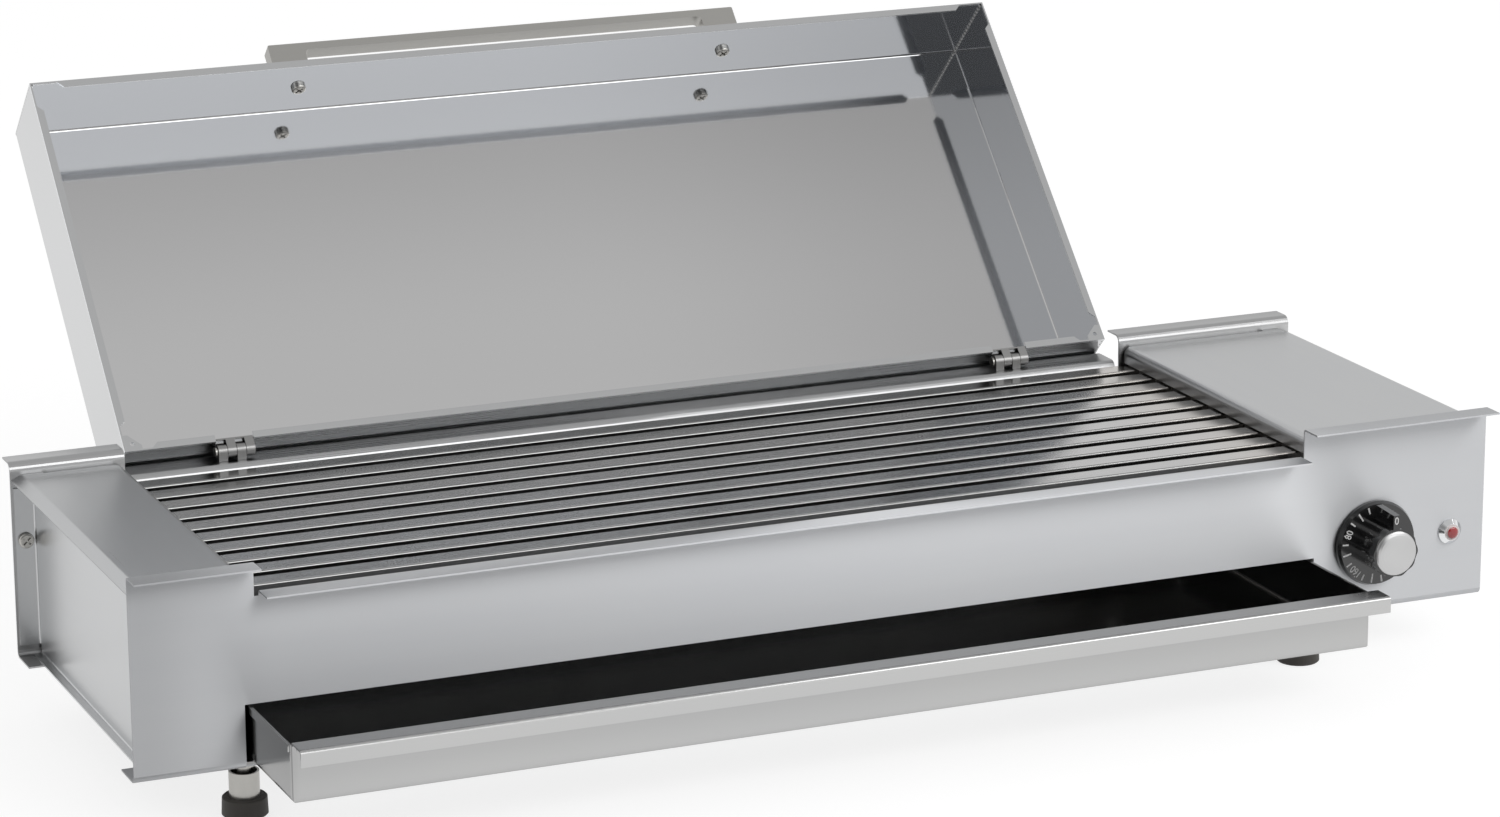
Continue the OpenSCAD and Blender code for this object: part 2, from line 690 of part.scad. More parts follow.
// Cable inlet in the rear panel
module cable_gland() color("dimgray") placed() translate([gland_x, body_d, control_z])
    rotate([-90, 0, 0]) difference() {
        union() {
            translate([0, 0, -gland_l / 2]) cylinder(r = gland_thread_r, h = gland_l / 2);
            cylinder(r = gland_hex_r, h = gland_hex_h, $fn = 6);
            translate([0, 0, gland_hex_h]) rotate_extrude()
                soft_rect(0, 0, gland_r, gland_l - gland_hex_h, [0, 0, gland_round, 0]);
        }
        translate([0, 0, -gland_l]) cylinder(r = gland_bore_r, h = 3 * gland_l);
    }
module gland_nut() color("dimgray") placed() translate([gland_x, body_d - sheet, control_z])
    rotate([90, 0, 0]) difference() {
        cylinder(r = gland_hex_r, h = gland_nut_h, $fn = 6);
        translate([0, 0, -over]) cylinder(r = gland_thread_r + snug_fit, h = gland_nut_h + 2 * over);
    }

module panel_screws() color("whitesmoke") placed()
    for (x = [panel_screw_x, body_w - panel_screw_x])
        translate([x, body_d - 2 * sheet, panel_screw_z]) pan_screw(screw_r - snug_fit, panel_screw_l);
module panel_nuts() color("whitesmoke") placed()
    for (x = [panel_screw_x, body_w - panel_screw_x])
        difference() {
            translate([x, body_d + nut_h, panel_screw_z]) rotate([90, 0, 0])
                cylinder(r = nut_r, h = nut_h, $fn = 6);
            rod_y(body_d - over, body_d + nut_h + over, x, panel_screw_z, screw_r);
        }

// Feet

module foot_sleeve(i) color("lightgray") placed() translate(foot_at(i))
    difference() {
        translate([0, 0, rubber_floor - foot_h])
            cylinder(r = sleeve_r, h = foot_h - rubber_floor - sleeve_gap);
        translate([0, 0, rubber_floor + sleeve_floor - foot_h])
            cylinder(r = sleeve_r - sleeve_wall, h = foot_h);
    }
module foot_rubber(i) color("black") placed() translate(foot_at(i)) translate([0, 0, -foot_h])
    rotate_extrude() polygon([[0, 0], [foot_r + rubber_flare - rubber_chamfer, 0],
        [foot_r + rubber_flare, rubber_chamfer], [foot_r, rubber_h - rubber_chamfer],
        [foot_r - rubber_chamfer, rubber_h], [sleeve_r + snug_fit, rubber_h],
        [sleeve_r + snug_fit, rubber_floor], [0, rubber_floor]]);
module foot_studs() color("silver") placed() for (i = [0:3]) translate(foot_at(i)) {
    translate([0, 0, rubber_floor + sleeve_floor - foot_h])
        cylinder(r = stud_r, h = foot_h - rubber_floor - sleeve_floor);
    translate([0, 0, -stud_collar_h]) cylinder(r = stud_collar_r, h = stud_collar_h);
}

// Hinges: knuckles 0 and 2 belong to the rail's leaf, 1 and 3 to the lid's

function hinge_edge(x, k) = x - hinge_w / 2 + k * knuckle_pitch;
module knuckle(x, r) difference() {
    rod_x(x, x + knuckle_w, pivot_y, pivot_z, knuckle_r);
    rod_x(x - over, x + knuckle_w + over, pivot_y, pivot_z, r);
}
// Straps of the fixed leaf pass through slots in the rail to a plate under it
module hinge_base(x) color("lightgray") placed() {
    y0 = pivot_y - knuckle_r;
    z1 = grill_h - sheet;
    for (k = [0, 2]) {
        knuckle(hinge_edge(x, k), pin_r + snug_fit);
        difference() {
            box([hinge_edge(x, k), y0, z1 - leaf_t], [hinge_edge(x, k) + knuckle_w, y0 + leaf_t, pivot_z]);
            rod_x(hinge_edge(x, k) - over, hinge_edge(x, k) + knuckle_w + over, pivot_y, pivot_z,
                pin_r + snug_fit);
        }
    }
    box([x - hinge_w / 2 - leaf_past, y0, z1 - leaf_t],
        [x + hinge_w / 2 + leaf_past, rail_back - rail_outer_r, z1]);
}
module hinge_base_left() hinge_base(hinge_xs[0]);
module hinge_base_right() hinge_base(hinge_xs[1]);
module hinge_pins() color("silver") placed() for (x = hinge_xs) {
    rod_x(x - hinge_w / 2 - knuckle_gap, x + hinge_w / 2 + knuckle_gap, pivot_y, pivot_z, pin_r);
    rod_x(x - hinge_w / 2 - knuckle_gap - pin_head_h, x - hinge_w / 2 - knuckle_gap, pivot_y, pivot_z,
        pin_head_r);
}
// Fingers of the lid's leaf pass under the rear wall to a plate inside it, which is only as
// wide as the knuckles where it stands in the rim's notch
module hinge_leaf(x) color("lightgray") on_open_lid() {
    y1 = lid_y1 - sheet;
    z0 = pivot_z - knuckle_r;
    z1 = lid_z0 + notch_h;
    for (k = [1, 3]) {
        knuckle(hinge_edge(x, k), pin_r + run_fit);
        box([hinge_edge(x, k), y1 - leaf_t, z0], [hinge_edge(x, k) + knuckle_w, pivot_y, z0 + leaf_t]);
    }
    box([x - hinge_w / 2, y1 - leaf_t, z0], [x + hinge_w / 2, y1, z1]);
    box([x - hinge_w / 2 - leaf_past, y1 - leaf_t, z1], [x + hinge_w / 2 + leaf_past, y1, z0 + leaf_h]);
}
module hinge_leaf_left() hinge_leaf(hinge_xs[0]);
module hinge_leaf_right() hinge_leaf(hinge_xs[1]);

// Lid

// Block with rounded top edges, the outside or, with an inset, the inside of the lid
module lid_block(inset, r, z0) intersection() {
    along_x(lid_x0 + inset, lid_x1 - inset)
        soft_rect(lid_y0 + inset, z0, lid_y1 - inset, lid_z1 - inset, [0, 0, r, r]);
    along_y(lid_y0 + inset, lid_y1 - inset)
        soft_rect(lid_x0 + inset, z0, lid_x1 - inset, lid_z1 - inset, [0, 0, r, r]);
}
// Rim lip from a to b along X, turned in to positive Y, its ends cut at 45 degrees
module rim_strip(a, b)
    along_z(lid_z0, lid_z0 + sheet)
        polygon([[a, 0], [b, 0], [b, sheet], [b - rim_lip, sheet + rim_lip],
            [a + rim_lip, sheet + rim_lip], [a, sheet]]);
module corner_gusset(x, s) difference() {
    along_z(lid_z0, lid_z0 + sheet) translate([x, lid_y1])
        polygon([[0, 0], [s * gusset, 0], [s * gusset, -gusset / 3], [s * gusset / 3, -gusset],
            [0, -gusset]]);
    translate([x + s * gusset / 2, lid_y1 - gusset / 2.4, lid_z0 - over])
        cylinder(r = gusset_hole_r, h = sheet + 2 * over);
}
module lid_shell() color("gainsboro") on_open_lid() difference() {
    union() {
        difference() {
            lid_block(0, bend_r + sheet, lid_z0);
            lid_block(sheet, bend_r, lid_z0 - over);
        }
        translate([0, lid_y0, 0]) rim_strip(lid_x0 + lip_stop, lid_x1 - lip_stop);
        translate([0, lid_y1, 0]) mirror([0, 1, 0]) rim_strip(lid_x0 + lip_stop, lid_x1 - lip_stop);
        translate([lid_x0, 0, 0]) mirror([1, 0, 0]) rotate(90)
            rim_strip(lid_y0 + lip_stop, lid_y1 - lip_stop);
        translate([lid_x1, 0, 0]) rotate(90) rim_strip(lid_y0 + lip_stop, lid_y1 - lip_stop);
        corner_gusset(lid_x0, 1);
        corner_gusset(lid_x1, -1);
    }
    for (x = hinge_xs)
        box([x - hinge_w / 2 - fit, lid_y1 - sheet - rim_lip - over, lid_z0 - over],
            [x + hinge_w / 2 + fit, lid_y1 + over, lid_z0 + notch_h]);
    for (s = [-1, 1])
        rod_y(lid_y0 - over, lid_y0 + sheet + over, lid_mid + s * handle_pitch / 2, handle_mid_z,
            handle_screw_r + fit);
}

module lid_handle() color("gainsboro") on_open_lid() difference() {
    translate([lid_mid, lid_y0, 0]) along_z(handle_mid_z - handle_w / 2, handle_mid_z + handle_w / 2)
        difference() {
            soft_rect(-handle_l / 2, -handle_reach, handle_l / 2, 0, [handle_edge_r, handle_edge_r, 0, 0]);
            soft_rect(-handle_l / 2 + handle_foot, grip_t - handle_reach, handle_l / 2 - handle_foot,
                over, [grip_window_r, grip_window_r, 0, 0]);
        }
    for (s = [-1, 1])
        rod_y(lid_y0 - handle_screw_l, lid_y0 + over, lid_mid + s * handle_pitch / 2, handle_mid_z,
            handle_screw_r + snug_fit);
}
module handle_screws() color("whitesmoke") on_open_lid() for (s = [-1, 1])
    translate([lid_mid + s * handle_pitch / 2, lid_y0 + sheet, handle_mid_z])
        rotate(180) pan_screw(handle_screw_r, handle_screw_l);

// Drip tray: a folded pan with hemmed sides and a lip along its front

module tray_block(inset, r, z1) intersection() {
    along_x(tray_x0 + tray_t, tray_x1 - tray_t)
        soft_rect(tray_front + inset, tray_z + inset, tray_back - inset, z1, [r, r, 0, 0]);
    along_y(tray_front, tray_back)
        soft_rect(tray_x0 + tray_t + inset, tray_z + inset, tray_x1 - tray_t - inset, z1, [r, r, 0, 0]);
    along_z(tray_z, z1)
        soft_rect(tray_x0 + tray_t + inset, tray_front + inset, tray_x1 - tray_t - inset,
            tray_back - inset, [r, r, r, r]);
}
module drip_tray() color("silver") placed() {
    difference() {
        tray_block(0, tray_corner_r, tray_top);
        tray_block(tray_t, tray_corner_r - tray_t, tray_top + over);
    }
    for (x = [tray_x0, tray_x1 - tray_t])
        along_y(tray_front + tray_corner_r, tray_back - tray_corner_r)
            soft_rect(x, tray_top - tray_hem, x + tray_t, tray_top, [0, 0, tray_t / 3, tray_t / 3]);
    along_x(tray_x0 - lip_over + tray_lip_shift, tray_x1 + lip_over + tray_lip_shift)
        bent([[tray_front - tray_lip + tray_t / 2, lip_top - tray_lip_fall],
            [tray_front - tray_lip + tray_t / 2, lip_top - tray_t / 2],
            [tray_front + tray_t / 2, lip_top - tray_t / 2],
            [tray_front + tray_t / 2, tray_top]], [bend_r, tray_t / 4], tray_t);
}

// Knob

function flute(a) = hub_r - flute_depth * (0.5 - 0.5 * cos(flute_count * a));
module control_knob() color("black") placed() translate([knob_x, 0, control_z]) rotate([90, 0, 0])
    difference() {
        union() {
            translate([0, 0, dial_gap]) rotate_extrude() polygon([[0, 0], [dial_r, 0],
                [dial_r, dial_t / 2], [dial_r - dial_t / 4, dial_t], [0, dial_t]]);
            translate([0, 0, dial_gap]) linear_extrude(hub_y - dial_gap)
                polygon([for (a = [0:3:357]) flute(a) * [cos(a), sin(a)]]);
            translate([-nose_w / 2, 0, 0]) rotate([90, 0, 90]) linear_extrude(nose_w)
                polygon([[0, dial_gap], [dial_r * nose_root_share, dial_gap],
                    [dial_r * nose_root_share, dial_gap + dial_t],
                    [dial_r * nose_tip_share, hub_y], [0, hub_y]]);
        }
        translate([0, 0, -over]) cylinder(r = shaft_r + snug_fit, h = hub_y - cap_rise);
        translate([0, 0, hub_y - cap_rim]) cylinder(r = cap_r + snug_fit, h = cap_rim + over);
    }
module knob_cap() color("gainsboro") placed() translate([knob_x, 0, control_z]) rotate([90, 0, 0])
    translate([0, 0, hub_y - cap_rim]) rotate_extrude() polygon(concat([[0, 0], [cap_r, 0]],
        [for (k = [0:8]) [cap_r * cos(k * 90 / 8), cap_rim + cap_rise * sin(k * 90 / 8)]]));
module thermostat_shaft() color("silver") placed()
    rod_y(-hub_y + cap_rise + over + fit, shaft_in, knob_x, control_z, shaft_r);

front_panel();
rear_panel();
left_side_panel();
right_side_panel();
left_cover();
right_cover();
left_bar_carrier();
right_bar_carrier();
box_floor();
for (i = [1:bar_count])
    grill_bar(i - 1);
for (i = [1:bar_count / 2])
    heater(i - 1);
bus_bar_live();
bus_bar_neutral();
terminal_block();
thermostat_body();
thermostat_bulb();
pilot_bezel();
pilot_lens();
pilot_body();
cable_gland();
gland_nut();
panel_screws();
panel_nuts();
for (i = [1:4])
    foot_sleeve(i - 1);
for (i = [1:4])
    foot_rubber(i - 1);
foot_studs();
hinge_base_left();
hinge_base_right();
hinge_pins();
lid_shell();
lid_handle();
handle_screws();
hinge_leaf_left();
hinge_leaf_right();
drip_tray();
control_knob();
knob_cap();
thermostat_shaft();
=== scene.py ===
import json
import math

import bpy
import numpy as np
from mathutils import Matrix, Vector


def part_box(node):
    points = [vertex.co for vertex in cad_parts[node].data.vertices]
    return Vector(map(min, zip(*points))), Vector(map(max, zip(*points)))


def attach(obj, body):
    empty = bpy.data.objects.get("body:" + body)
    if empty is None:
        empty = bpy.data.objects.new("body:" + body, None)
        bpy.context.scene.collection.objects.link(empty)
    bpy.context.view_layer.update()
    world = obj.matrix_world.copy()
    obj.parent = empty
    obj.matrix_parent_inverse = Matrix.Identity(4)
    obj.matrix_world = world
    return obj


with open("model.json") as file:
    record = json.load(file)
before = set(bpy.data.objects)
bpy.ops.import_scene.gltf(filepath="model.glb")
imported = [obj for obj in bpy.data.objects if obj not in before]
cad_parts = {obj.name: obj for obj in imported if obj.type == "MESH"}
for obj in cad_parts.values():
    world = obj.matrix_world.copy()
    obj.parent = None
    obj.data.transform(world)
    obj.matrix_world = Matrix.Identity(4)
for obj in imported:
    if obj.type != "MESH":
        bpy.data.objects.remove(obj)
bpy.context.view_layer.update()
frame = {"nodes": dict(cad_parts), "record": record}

bl_info = {
    "name": "Table grill",
    "version": (1, 0, 0),
    "blender": (4, 5, 0),
    "location": "3D View > Sidebar > Grill",
    "description": "Finishes, dial marks and studio for a table grill",
    "category": "Object",
}

MM = 0.001


# Settings


def colour(name, description, default):
    """A colour of three numbers from 0 to 1."""
    return bpy.props.FloatVectorProperty(
        name=name, description=description, default=default, size=3, subtype="COLOR", min=0, max=1)


def share(name, description, default):
    """A number from 0 to 1."""
    return bpy.props.FloatProperty(
        name=name, description=description, default=default, min=0, max=1, subtype="FACTOR")


def length(name, description, default):
    """A length in metres."""
    return bpy.props.FloatProperty(
        name=name, description=description, default=default, subtype="DISTANCE", unit="LENGTH")


def angle(name, description, default):
    """An angle in radians."""
    return bpy.props.FloatProperty(
        name=name, description=description, default=default, subtype="ANGLE", unit="ROTATION")


def point(name, description, default):
    """A place in metres."""
    return bpy.props.FloatVectorProperty(
        name=name, description=description, default=default, size=3, subtype="XYZ", unit="LENGTH")


def number(name, description, default):
    """A whole number."""
    return bpy.props.IntProperty(name=name, description=description, default=default, min=1)


class SheetSettings(bpy.types.PropertyGroup):
    """The body's brushed and satin sheets."""

    body: colour("Body", "Colour of the covers and side panels", (0.58, 0.59, 0.605))
    roughness: share("Body roughness", "Roughness of covers, side and rear panels", 0.28)
    rear: colour("Rear", "Colour of the rear panel", (0.50, 0.505, 0.515))
    front: colour("Front", "Colour of the front panel", (0.76, 0.775, 0.805))
    front_roughness: share("Front roughness", "Roughness of the front panel", 0.5)
    spread: share("Spread", "How much satin sheet widens reflections across its grain", 0.9)
    edge: share("Edge", "Reflection of satin sheet at a flat angle", 0.75)
    cover_edge: share("Cover edge", "Reflection of the covers at a flat angle", 0.7)
    # Painted shade on the front panel: darker beside the tray and slowly darker towards the left
    left_painted_shade: share("Left fade", "How much darker the front is left of the tray", 0.32)
    right_painted_shade: share("Right fade", "How much darker the front is right of the tray", 0.25)
    slow_painted_shade: share("Slow fade", "How much darker the front gets from middle to left", 0.14)
    painted_shade_width: length("Fade width", "Width of the fade beside the tray", 80 * MM)
    inner: colour("Inner sheet", "Colour of the carriers and inner sheets", (0.33, 0.33, 0.33))
    inner_roughness: share("Inner roughness", "Roughness of carriers and inner sheets", 0.34)


class LidSettings(bpy.types.PropertyGroup):
    """The lid, its welds and its handle."""

    sheet: length("Sheet", "Thickness of the lid's sheet", 1 * MM)
    outside: colour("Outside", "Colour of the lid's outer faces", (0.63, 0.635, 0.64))
    panel: colour("Panel", "Colour of the lid's panel inside", (0.725, 0.723, 0.725))
    # Painted sheen: the walls' inner faces are a paler, bluer copy of the lid's sheet
    walls: colour("Walls", "Colour of the lid's walls inside", (0.775, 0.80, 0.835))
    # Painted highlight: the lips along the rim are painted near white, beyond the sheet's own tone
    rim: colour("Rim", "Colour of the brushed lips along the rim", (0.935, 0.95, 0.969))
    # Painted shade on the lid's panel: darker towards its top and its right
    fall: share("Fall", "How much darker the panel gets towards its top", 0.2)
    fall_start: share("Fall start", "Where it starts to fall, as a share of its height", 0.3)
    drift: share("Drift", "How much darker the panel gets towards the right", 0.18)
    drift_start: share("Drift start", "Where it starts to drift, as a share of its width", 0.5)
    roughness: share("Roughness", "Roughness of the bright sheet", 0.07)
    rim_roughness: share("Rim roughness", "Roughness that brushing adds to the lips", 0.4)
    weld: length("Weld", "Radius of the beads in the lid's corners", 1.1 * MM)
    weld_tone: colour("Weld colour", "Colour of the weld beads", (0.63, 0.635, 0.64))
    weld_roughness: share("Weld roughness", "Roughness of the weld beads", 0.2)
    handle: colour("Handle", "Colour of the satin handle", (0.44, 0.435, 0.42))
    handle_roughness: share("Handle roughness", "Roughness of the satin handle", 0.4)


class TraySettings(bpy.types.PropertyGroup):
    """The drip tray and the bars above it."""

    sheet: length("Sheet", "Thickness of the tray's sheet", 1 * MM)
    shelf: length("Shelf", "Depth of the shelf along the tray's front", 15 * MM)
    tray: colour("Tray", "Colour of the drip tray", (0.525, 0.528, 0.533))
    roughness: share("Tray roughness", "Roughness of the drip tray", 0.14)
    edge: share("Tray edge", "Reflection of the tray at a flat angle", 0.75)
    # Painted shade on the drip tray: darker inside it and on its front under the lip
    dark: share("Inside", "How much darker the tray is inside", 0.45)
    shade: share("Lip shade", "How much darker the tray's front is under its lip", 0.17)
    shade_depth: length("Shade depth", "Depth below the tray's top where it is darkest", 7.5 * MM)
    bars: colour("Bars", "Colour of the heating bars", (0.385, 0.385, 0.382))
    bar_roughness: share("Bar roughness", "Roughness of the heating bars", 0.16)
    # Heat tint, partly real heat colour and partly painted sheen: lighter than the bars at their
    # heated end
    heat_tint_and_sheen: colour("Heat tint", "Colour of the bars' warm ends", (0.47, 0.44, 0.41))
    heat_share: share("Heat share", "Strength of the tint at the bars' ends", 0.75)
    heat_roughness: share("Heat roughness", "Roughness that the tint adds", 0.05)
    heat_reach: length("Heat reach", "How far the tint runs along the bars", 45 * MM)
    sheath: colour("Sheath", "Colour of the heaters' sheaths", (0.14, 0.135, 0.13))


class FittingSettings(bpy.types.PropertyGroup):
    """Colours of feet, screws, hinges, pilot lamp and electrical parts."""

    zinc: colour("Zinc", "Colour of hinges, sleeves and screws", (0.48, 0.47, 0.445))
    rubber: colour("Rubber", "Colour of the rubber feet", (0.06, 0.054, 0.048))
    chrome: colour("Chrome", "Colour of the pilot lamp's bezel", (0.78, 0.79, 0.8))
    lens: colour("Lens", "Colour of the pilot lamp's dome", (0.46, 0.008, 0.012))
    lens_ring: colour("Lens ring", "Colour of the ring round the dome", (0.92, 0.84, 0.83))
    dome: share("Dome", "Radius of the dome as a share of the lens's", 0.74)
    dome_roughness: share("Dome roughness", "Roughness of the dome", 0.06)
    ring_roughness: share("Ring roughness", "Roughness that the ring adds", 0.2)
    brass: colour("Brass", "Colour of terminals", (0.72, 0.56, 0.27))
    copper: colour("Copper", "Colour of bus bars and tubes", (0.75, 0.43, 0.29))
    ceramic: colour("Ceramic", "Colour of insulators", (0.8, 0.78, 0.71))
    case: colour("Case", "Colour of the thermostat's case", (0.34, 0.34, 0.34))
    black: colour("Black plastic", "Colour of gland and lamp body", (0.03, 0.03, 0.031))


class DialSettings(bpy.types.PropertyGroup):
    """The knob, its dial and the marks on it."""

    plate: length("Dial plate", "Distance from the dial's back to its printed face", 4.6 * MM)
    gap: length("Print gap", "How far the print stands off the plastic", 0.06 * MM)
    rim: length("Rim", "Radius where the strokes end", 24 * MM)
    long_stroke: length("Long stroke", "Length of a long stroke", 5.6 * MM)
    short_stroke: length("Short stroke", "Length of a short stroke", 4 * MM)
    stroke_width: length("Stroke width", "Width of every stroke", 1 * MM)
    numeral: length("Numerals", "Height of the numerals", 4.6 * MM)
    inset: share("Inset", "Numeral's middle inside the rim, as a share of its height", 0.62)
    nose: length("Nose numeral", "Height of the nose's numeral over the axis", 19.6 * MM)
    dot: length("Dot", "Radius of the dot outside a numeral", 0.35 * MM)
    dot_rise: length("Dot rise", "How far the dot lies outside the rim", 0.1 * MM)
    dot_turn: angle("Dot turn", "Turn from a numeral's middle to its dot", 0.06)
    step: angle("Step", "Turn from one mark to the next", math.radians(17.1))
    marks: number("Marks", "Count of marks, from the nose leftwards", 11)
    period: number("Period", "Marks from one numeral to the next", 4)
    value: number("Value", "What one mark stands for", 20)
    ink: colour("Print", "Colour of the printed marks", (0.95, 0.95, 0.94))
    knob: colour("Knob", "Colour of the knob's black plastic", (0.012, 0.012, 0.0125))
    cap: colour("Cap", "Colour of the knob's silver cap", (0.56, 0.56, 0.56))


class StageSettings(bpy.types.PropertyGroup):
    """Camera, floor, world and lamp."""

    camera: point("Camera", "Place of the camera", (-1.08115, -2.59225, 0.91490))
    azimuth: angle("Azimuth", "Turn of the camera to the right of straight ahead",
                   math.radians(23.11))
    dip: angle("Dip", "How far the camera looks down", math.radians(15.35))
    roll: angle("Roll", "Turn of the picture", math.radians(-0.28))
    focal: bpy.props.FloatProperty(
        name="Focal length", description="Focal length of the camera", default=116.34,
        unit="CAMERA")
    floor_half: length("Floor", "Half the side of the floor", 8.0)
    floor_albedo: share("Floor albedo", "Share of light that the floor scatters", 0.35)
    floor_glow: share("Floor glow", "Brightness added to the floor where it is seen", 0.79)
    floor_middle: length("Floor middle", "Where metal shows the floor brightest, along X", 0.1)
    floor_lit: length("Lit floor", "Half the width of the floor's brightest part", 0.3)
    floor_fade: length("Floor fade", "Width over which metal shows the floor darken", 0.25)
    floor_shade: share("Floor shade", "How much darker metal shows the floor's sides", 0.1)
    world_fill: share("World light", "Strength of the world's light on the object", 0.8)
    zenith: share("Zenith", "Brightness of the world overhead", 0.6)
    zenith_low: share("Zenith low", "Height where the world starts to darken upwards", 0.3)
    zenith_high: share("Zenith high", "Height where the world has darkened", 0.85)
    dark_side: bpy.props.FloatVectorProperty(
        name="Dark side", description="Direction of the unlit part of the room",
        default=(-0.45, -0.85, 0.25), size=3, subtype="DIRECTION")
    darkness: share("Darkness", "How dark the unlit part of the room is", 0.85)
    dark_far: share("Dark from", "Closeness to the dark side where it starts", 0.80)
    dark_near: share("Dark to", "Closeness to the dark side where it is full", 0.97)
    key_place: point("Key lamp", "Place of the large lamp in front", (1.5, -2.2, 2.0))
    key_target: point("Key target", "Where the large lamp points", (0.1, 0, 0.1))
    key_width: length("Key width", "Width of the large lamp", 3.4)
    key_height: length("Key height", "Height of the large lamp", 1.3)
    key_power: bpy.props.FloatProperty(
        name="Key power", description="Power of the large lamp", default=30, unit="POWER")


# Materials


# Tint of the lighter clouds in steel sheet
WARM = (1.01, 1.0, 0.975)
# Turn of the default tangent, with which satin sheet spreads reflections up and down
QUARTER_TURN = 0.25


class Wire:
    """A shader socket that takes part in arithmetic: each operation on it adds a Math node."""

    def __init__(self, nodes, socket):
        self.nodes = nodes
        self.socket = socket

    def combined(self, operation, first, second):
        """The result of a Math node on two values."""
        return self.nodes.node("ShaderNodeMath", {"operation": operation}, {0: first, 1: second})

    def __add__(self, other):
        return self.combined("ADD", self, other)

    def __radd__(self, other):
        return self.combined("ADD", other, self)

    def __sub__(self, other):
        return self.combined("SUBTRACT", self, other)

    def __rsub__(self, other):
        return self.combined("SUBTRACT", other, self)

    def __mul__(self, other):
        return self.combined("MULTIPLY", self, other)

    def __rmul__(self, other):
        return self.combined("MULTIPLY", other, self)

    def larger(self, other):
        """The larger of two values."""
        return self.combined("MAXIMUM", self, other)


class Nodes:
    """A node tree under construction."""

    def __init__(self, tree):
        self.tree = tree
        self.tree.nodes.clear()

    def node(self, kind, settings=None, sockets=None, output=0):
        """Adds a node, sets its settings first and then its sockets' values or links."""
        node = self.tree.nodes.new(kind)
        for name, value in (settings or {}).items():
            setattr(node, name, value)
        for name, value in (sockets or {}).items():
            if isinstance(value, Wire):
                self.tree.links.new(value.socket, node.inputs[name])
            else:
                node.inputs[name].default_value = value
        return Wire(self, node.outputs[output]) if len(node.outputs) else None

    def place(self, scale=1.0):
        """Object coordinates in metres, times one scale or a scale along each axis."""
        where = self.node("ShaderNodeTexCoord", output="Object")
        return self.node("ShaderNodeMapping", sockets={
            "Vector": where, "Scale": np.broadcast_to(scale, 3)})

    def axis(self, name):
        """One of the Object coordinates X, Y and Z."""
        return self.node("ShaderNodeSeparateXYZ", sockets={"Vector": self.place()}, output=name)

    def along(self, vector, direction):
        """How far a vector reaches in a direction: their dot product."""
        return self.node("ShaderNodeVectorMath", {"operation": "DOT_PRODUCT"},
                         {0: vector, 1: direction}, "Value")

    def noise(self, scale, detail=2.0, roughness=0.5):
        """Noise from 0 to 1: its scale is the count of features a metre, along each axis."""
        return self.node("ShaderNodeTexNoise", sockets={
            "Vector": self.place(scale), "Scale": 1.0, "Detail": detail, "Roughness": roughness})

    def blend(self, mask, a, b):
        """Colour a where the mask is 0 and colour b where it is 1."""
        return self.node("ShaderNodeMix", {"data_type": "RGBA"},
                         {0: mask, 6: rgba(a), 7: rgba(b)}, 2)

    def mottled(self, tone, noise, mottle):
        """A colour that noise makes darker or lighter by a share."""
        return self.blend(noise, shade(tone, 1 - mottle), shade(tone, 1 + mottle))

    def darkened(self, tone, painted_shade):
        """A colour that loses a share of its brightness."""
        return self.blend(painted_shade, tone, (0, 0, 0))

    def ramp(self, value, start, stop):
        """0 at the start, 1 at the stop and a smooth change between."""
        return self.node("ShaderNodeMapRange", {"interpolation_type": "SMOOTHSTEP"}, {
            "Value": value, "From Min": start, "From Max": stop})

    def step(self, value, edge, sheet, start, stop):
        """A ramp near an edge: its start and stop are given in thicknesses of the sheet."""
        return self.ramp(value, edge + start * sheet, edge + stop * sheet)

    def bump(self, height, strength, distance):
        """Normal of a surface raised by a height from 0 to 1 times a distance in metres."""
        return self.node("ShaderNodeBump", sockets={
            "Height": height, "Strength": strength, "Distance": distance})


class Finish(Nodes):
    """A material whose surface is one Principled shader."""

    def __init__(self, name):
        self.material = bpy.data.materials.new(name)
        self.material.use_nodes = True
        super().__init__(self.material.node_tree)

    def surface(self, **sockets):
        """Adds the shader and the output, and returns the material."""
        named = {name.replace("_", " ").title(): value for name, value in sockets.items()}
        shader = self.node("ShaderNodeBsdfPrincipled", sockets=named)
        self.node("ShaderNodeOutputMaterial", sockets={"Surface": shader})
        return self.material


def rgba(value):
    """A colour of three numbers with its alpha, or a wire as it is."""
    return value if isinstance(value, Wire) else (*value, 1.0)


def shade(tone, factor):
    """A colour made darker or lighter by a factor."""
    return tuple(min(1.0, channel * factor) for channel in tone)


def varied(value, noise, span):
    """A value that noise spreads over a span about it."""
    return value + span * (noise - 0.5)


def steel(name, tone, roughness, grain="X", streak=0.05, cloud=0.05, spread=0.0, edge=1.0,
          painted_shade=None):
    """Steel sheet: streaks along the grain vary its roughness and height, clouds and bands vary
    its colour, and a spread widens its reflections across the grain. The edge is what it
    reflects at a flat angle, and the painted shade is a function that gives the share by which
    it is painted darker from place to place."""
    finish = Finish(name)
    fine, drawn = 1400.0, 7.0
    close, wide = 90.0, 2.0
    cloud_share = 0.7
    streaks = finish.noise([drawn if axis == grain else fine for axis in "XYZ"], detail=3.0,
                           roughness=0.65)
    clouds = finish.noise(5.0)
    bands = finish.noise((wide, close, close) if grain == "X" else (close, wide, wide))
    warmer = [channel * tint for channel, tint in zip(tone, WARM)]
    base = finish.blend(cloud_share * clouds + (1 - cloud_share) * bands,
                        shade(tone, 1 - cloud), shade(warmer, 1 + cloud))
    # Painted shade: the sheet's colour is darkened where the given function says
    if painted_shade:
        base = finish.darkened(base, painted_shade(finish))
    return finish.surface(
        base_color=base, metallic=1.0, specular_tint=rgba([edge] * 3),
        anisotropic=spread, anisotropic_rotation=QUARTER_TURN,
        roughness=varied(varied(roughness, streaks, streak), clouds, span=0.04),
        normal=finish.bump(streaks, strength=0.05, distance=0.2 * MM))


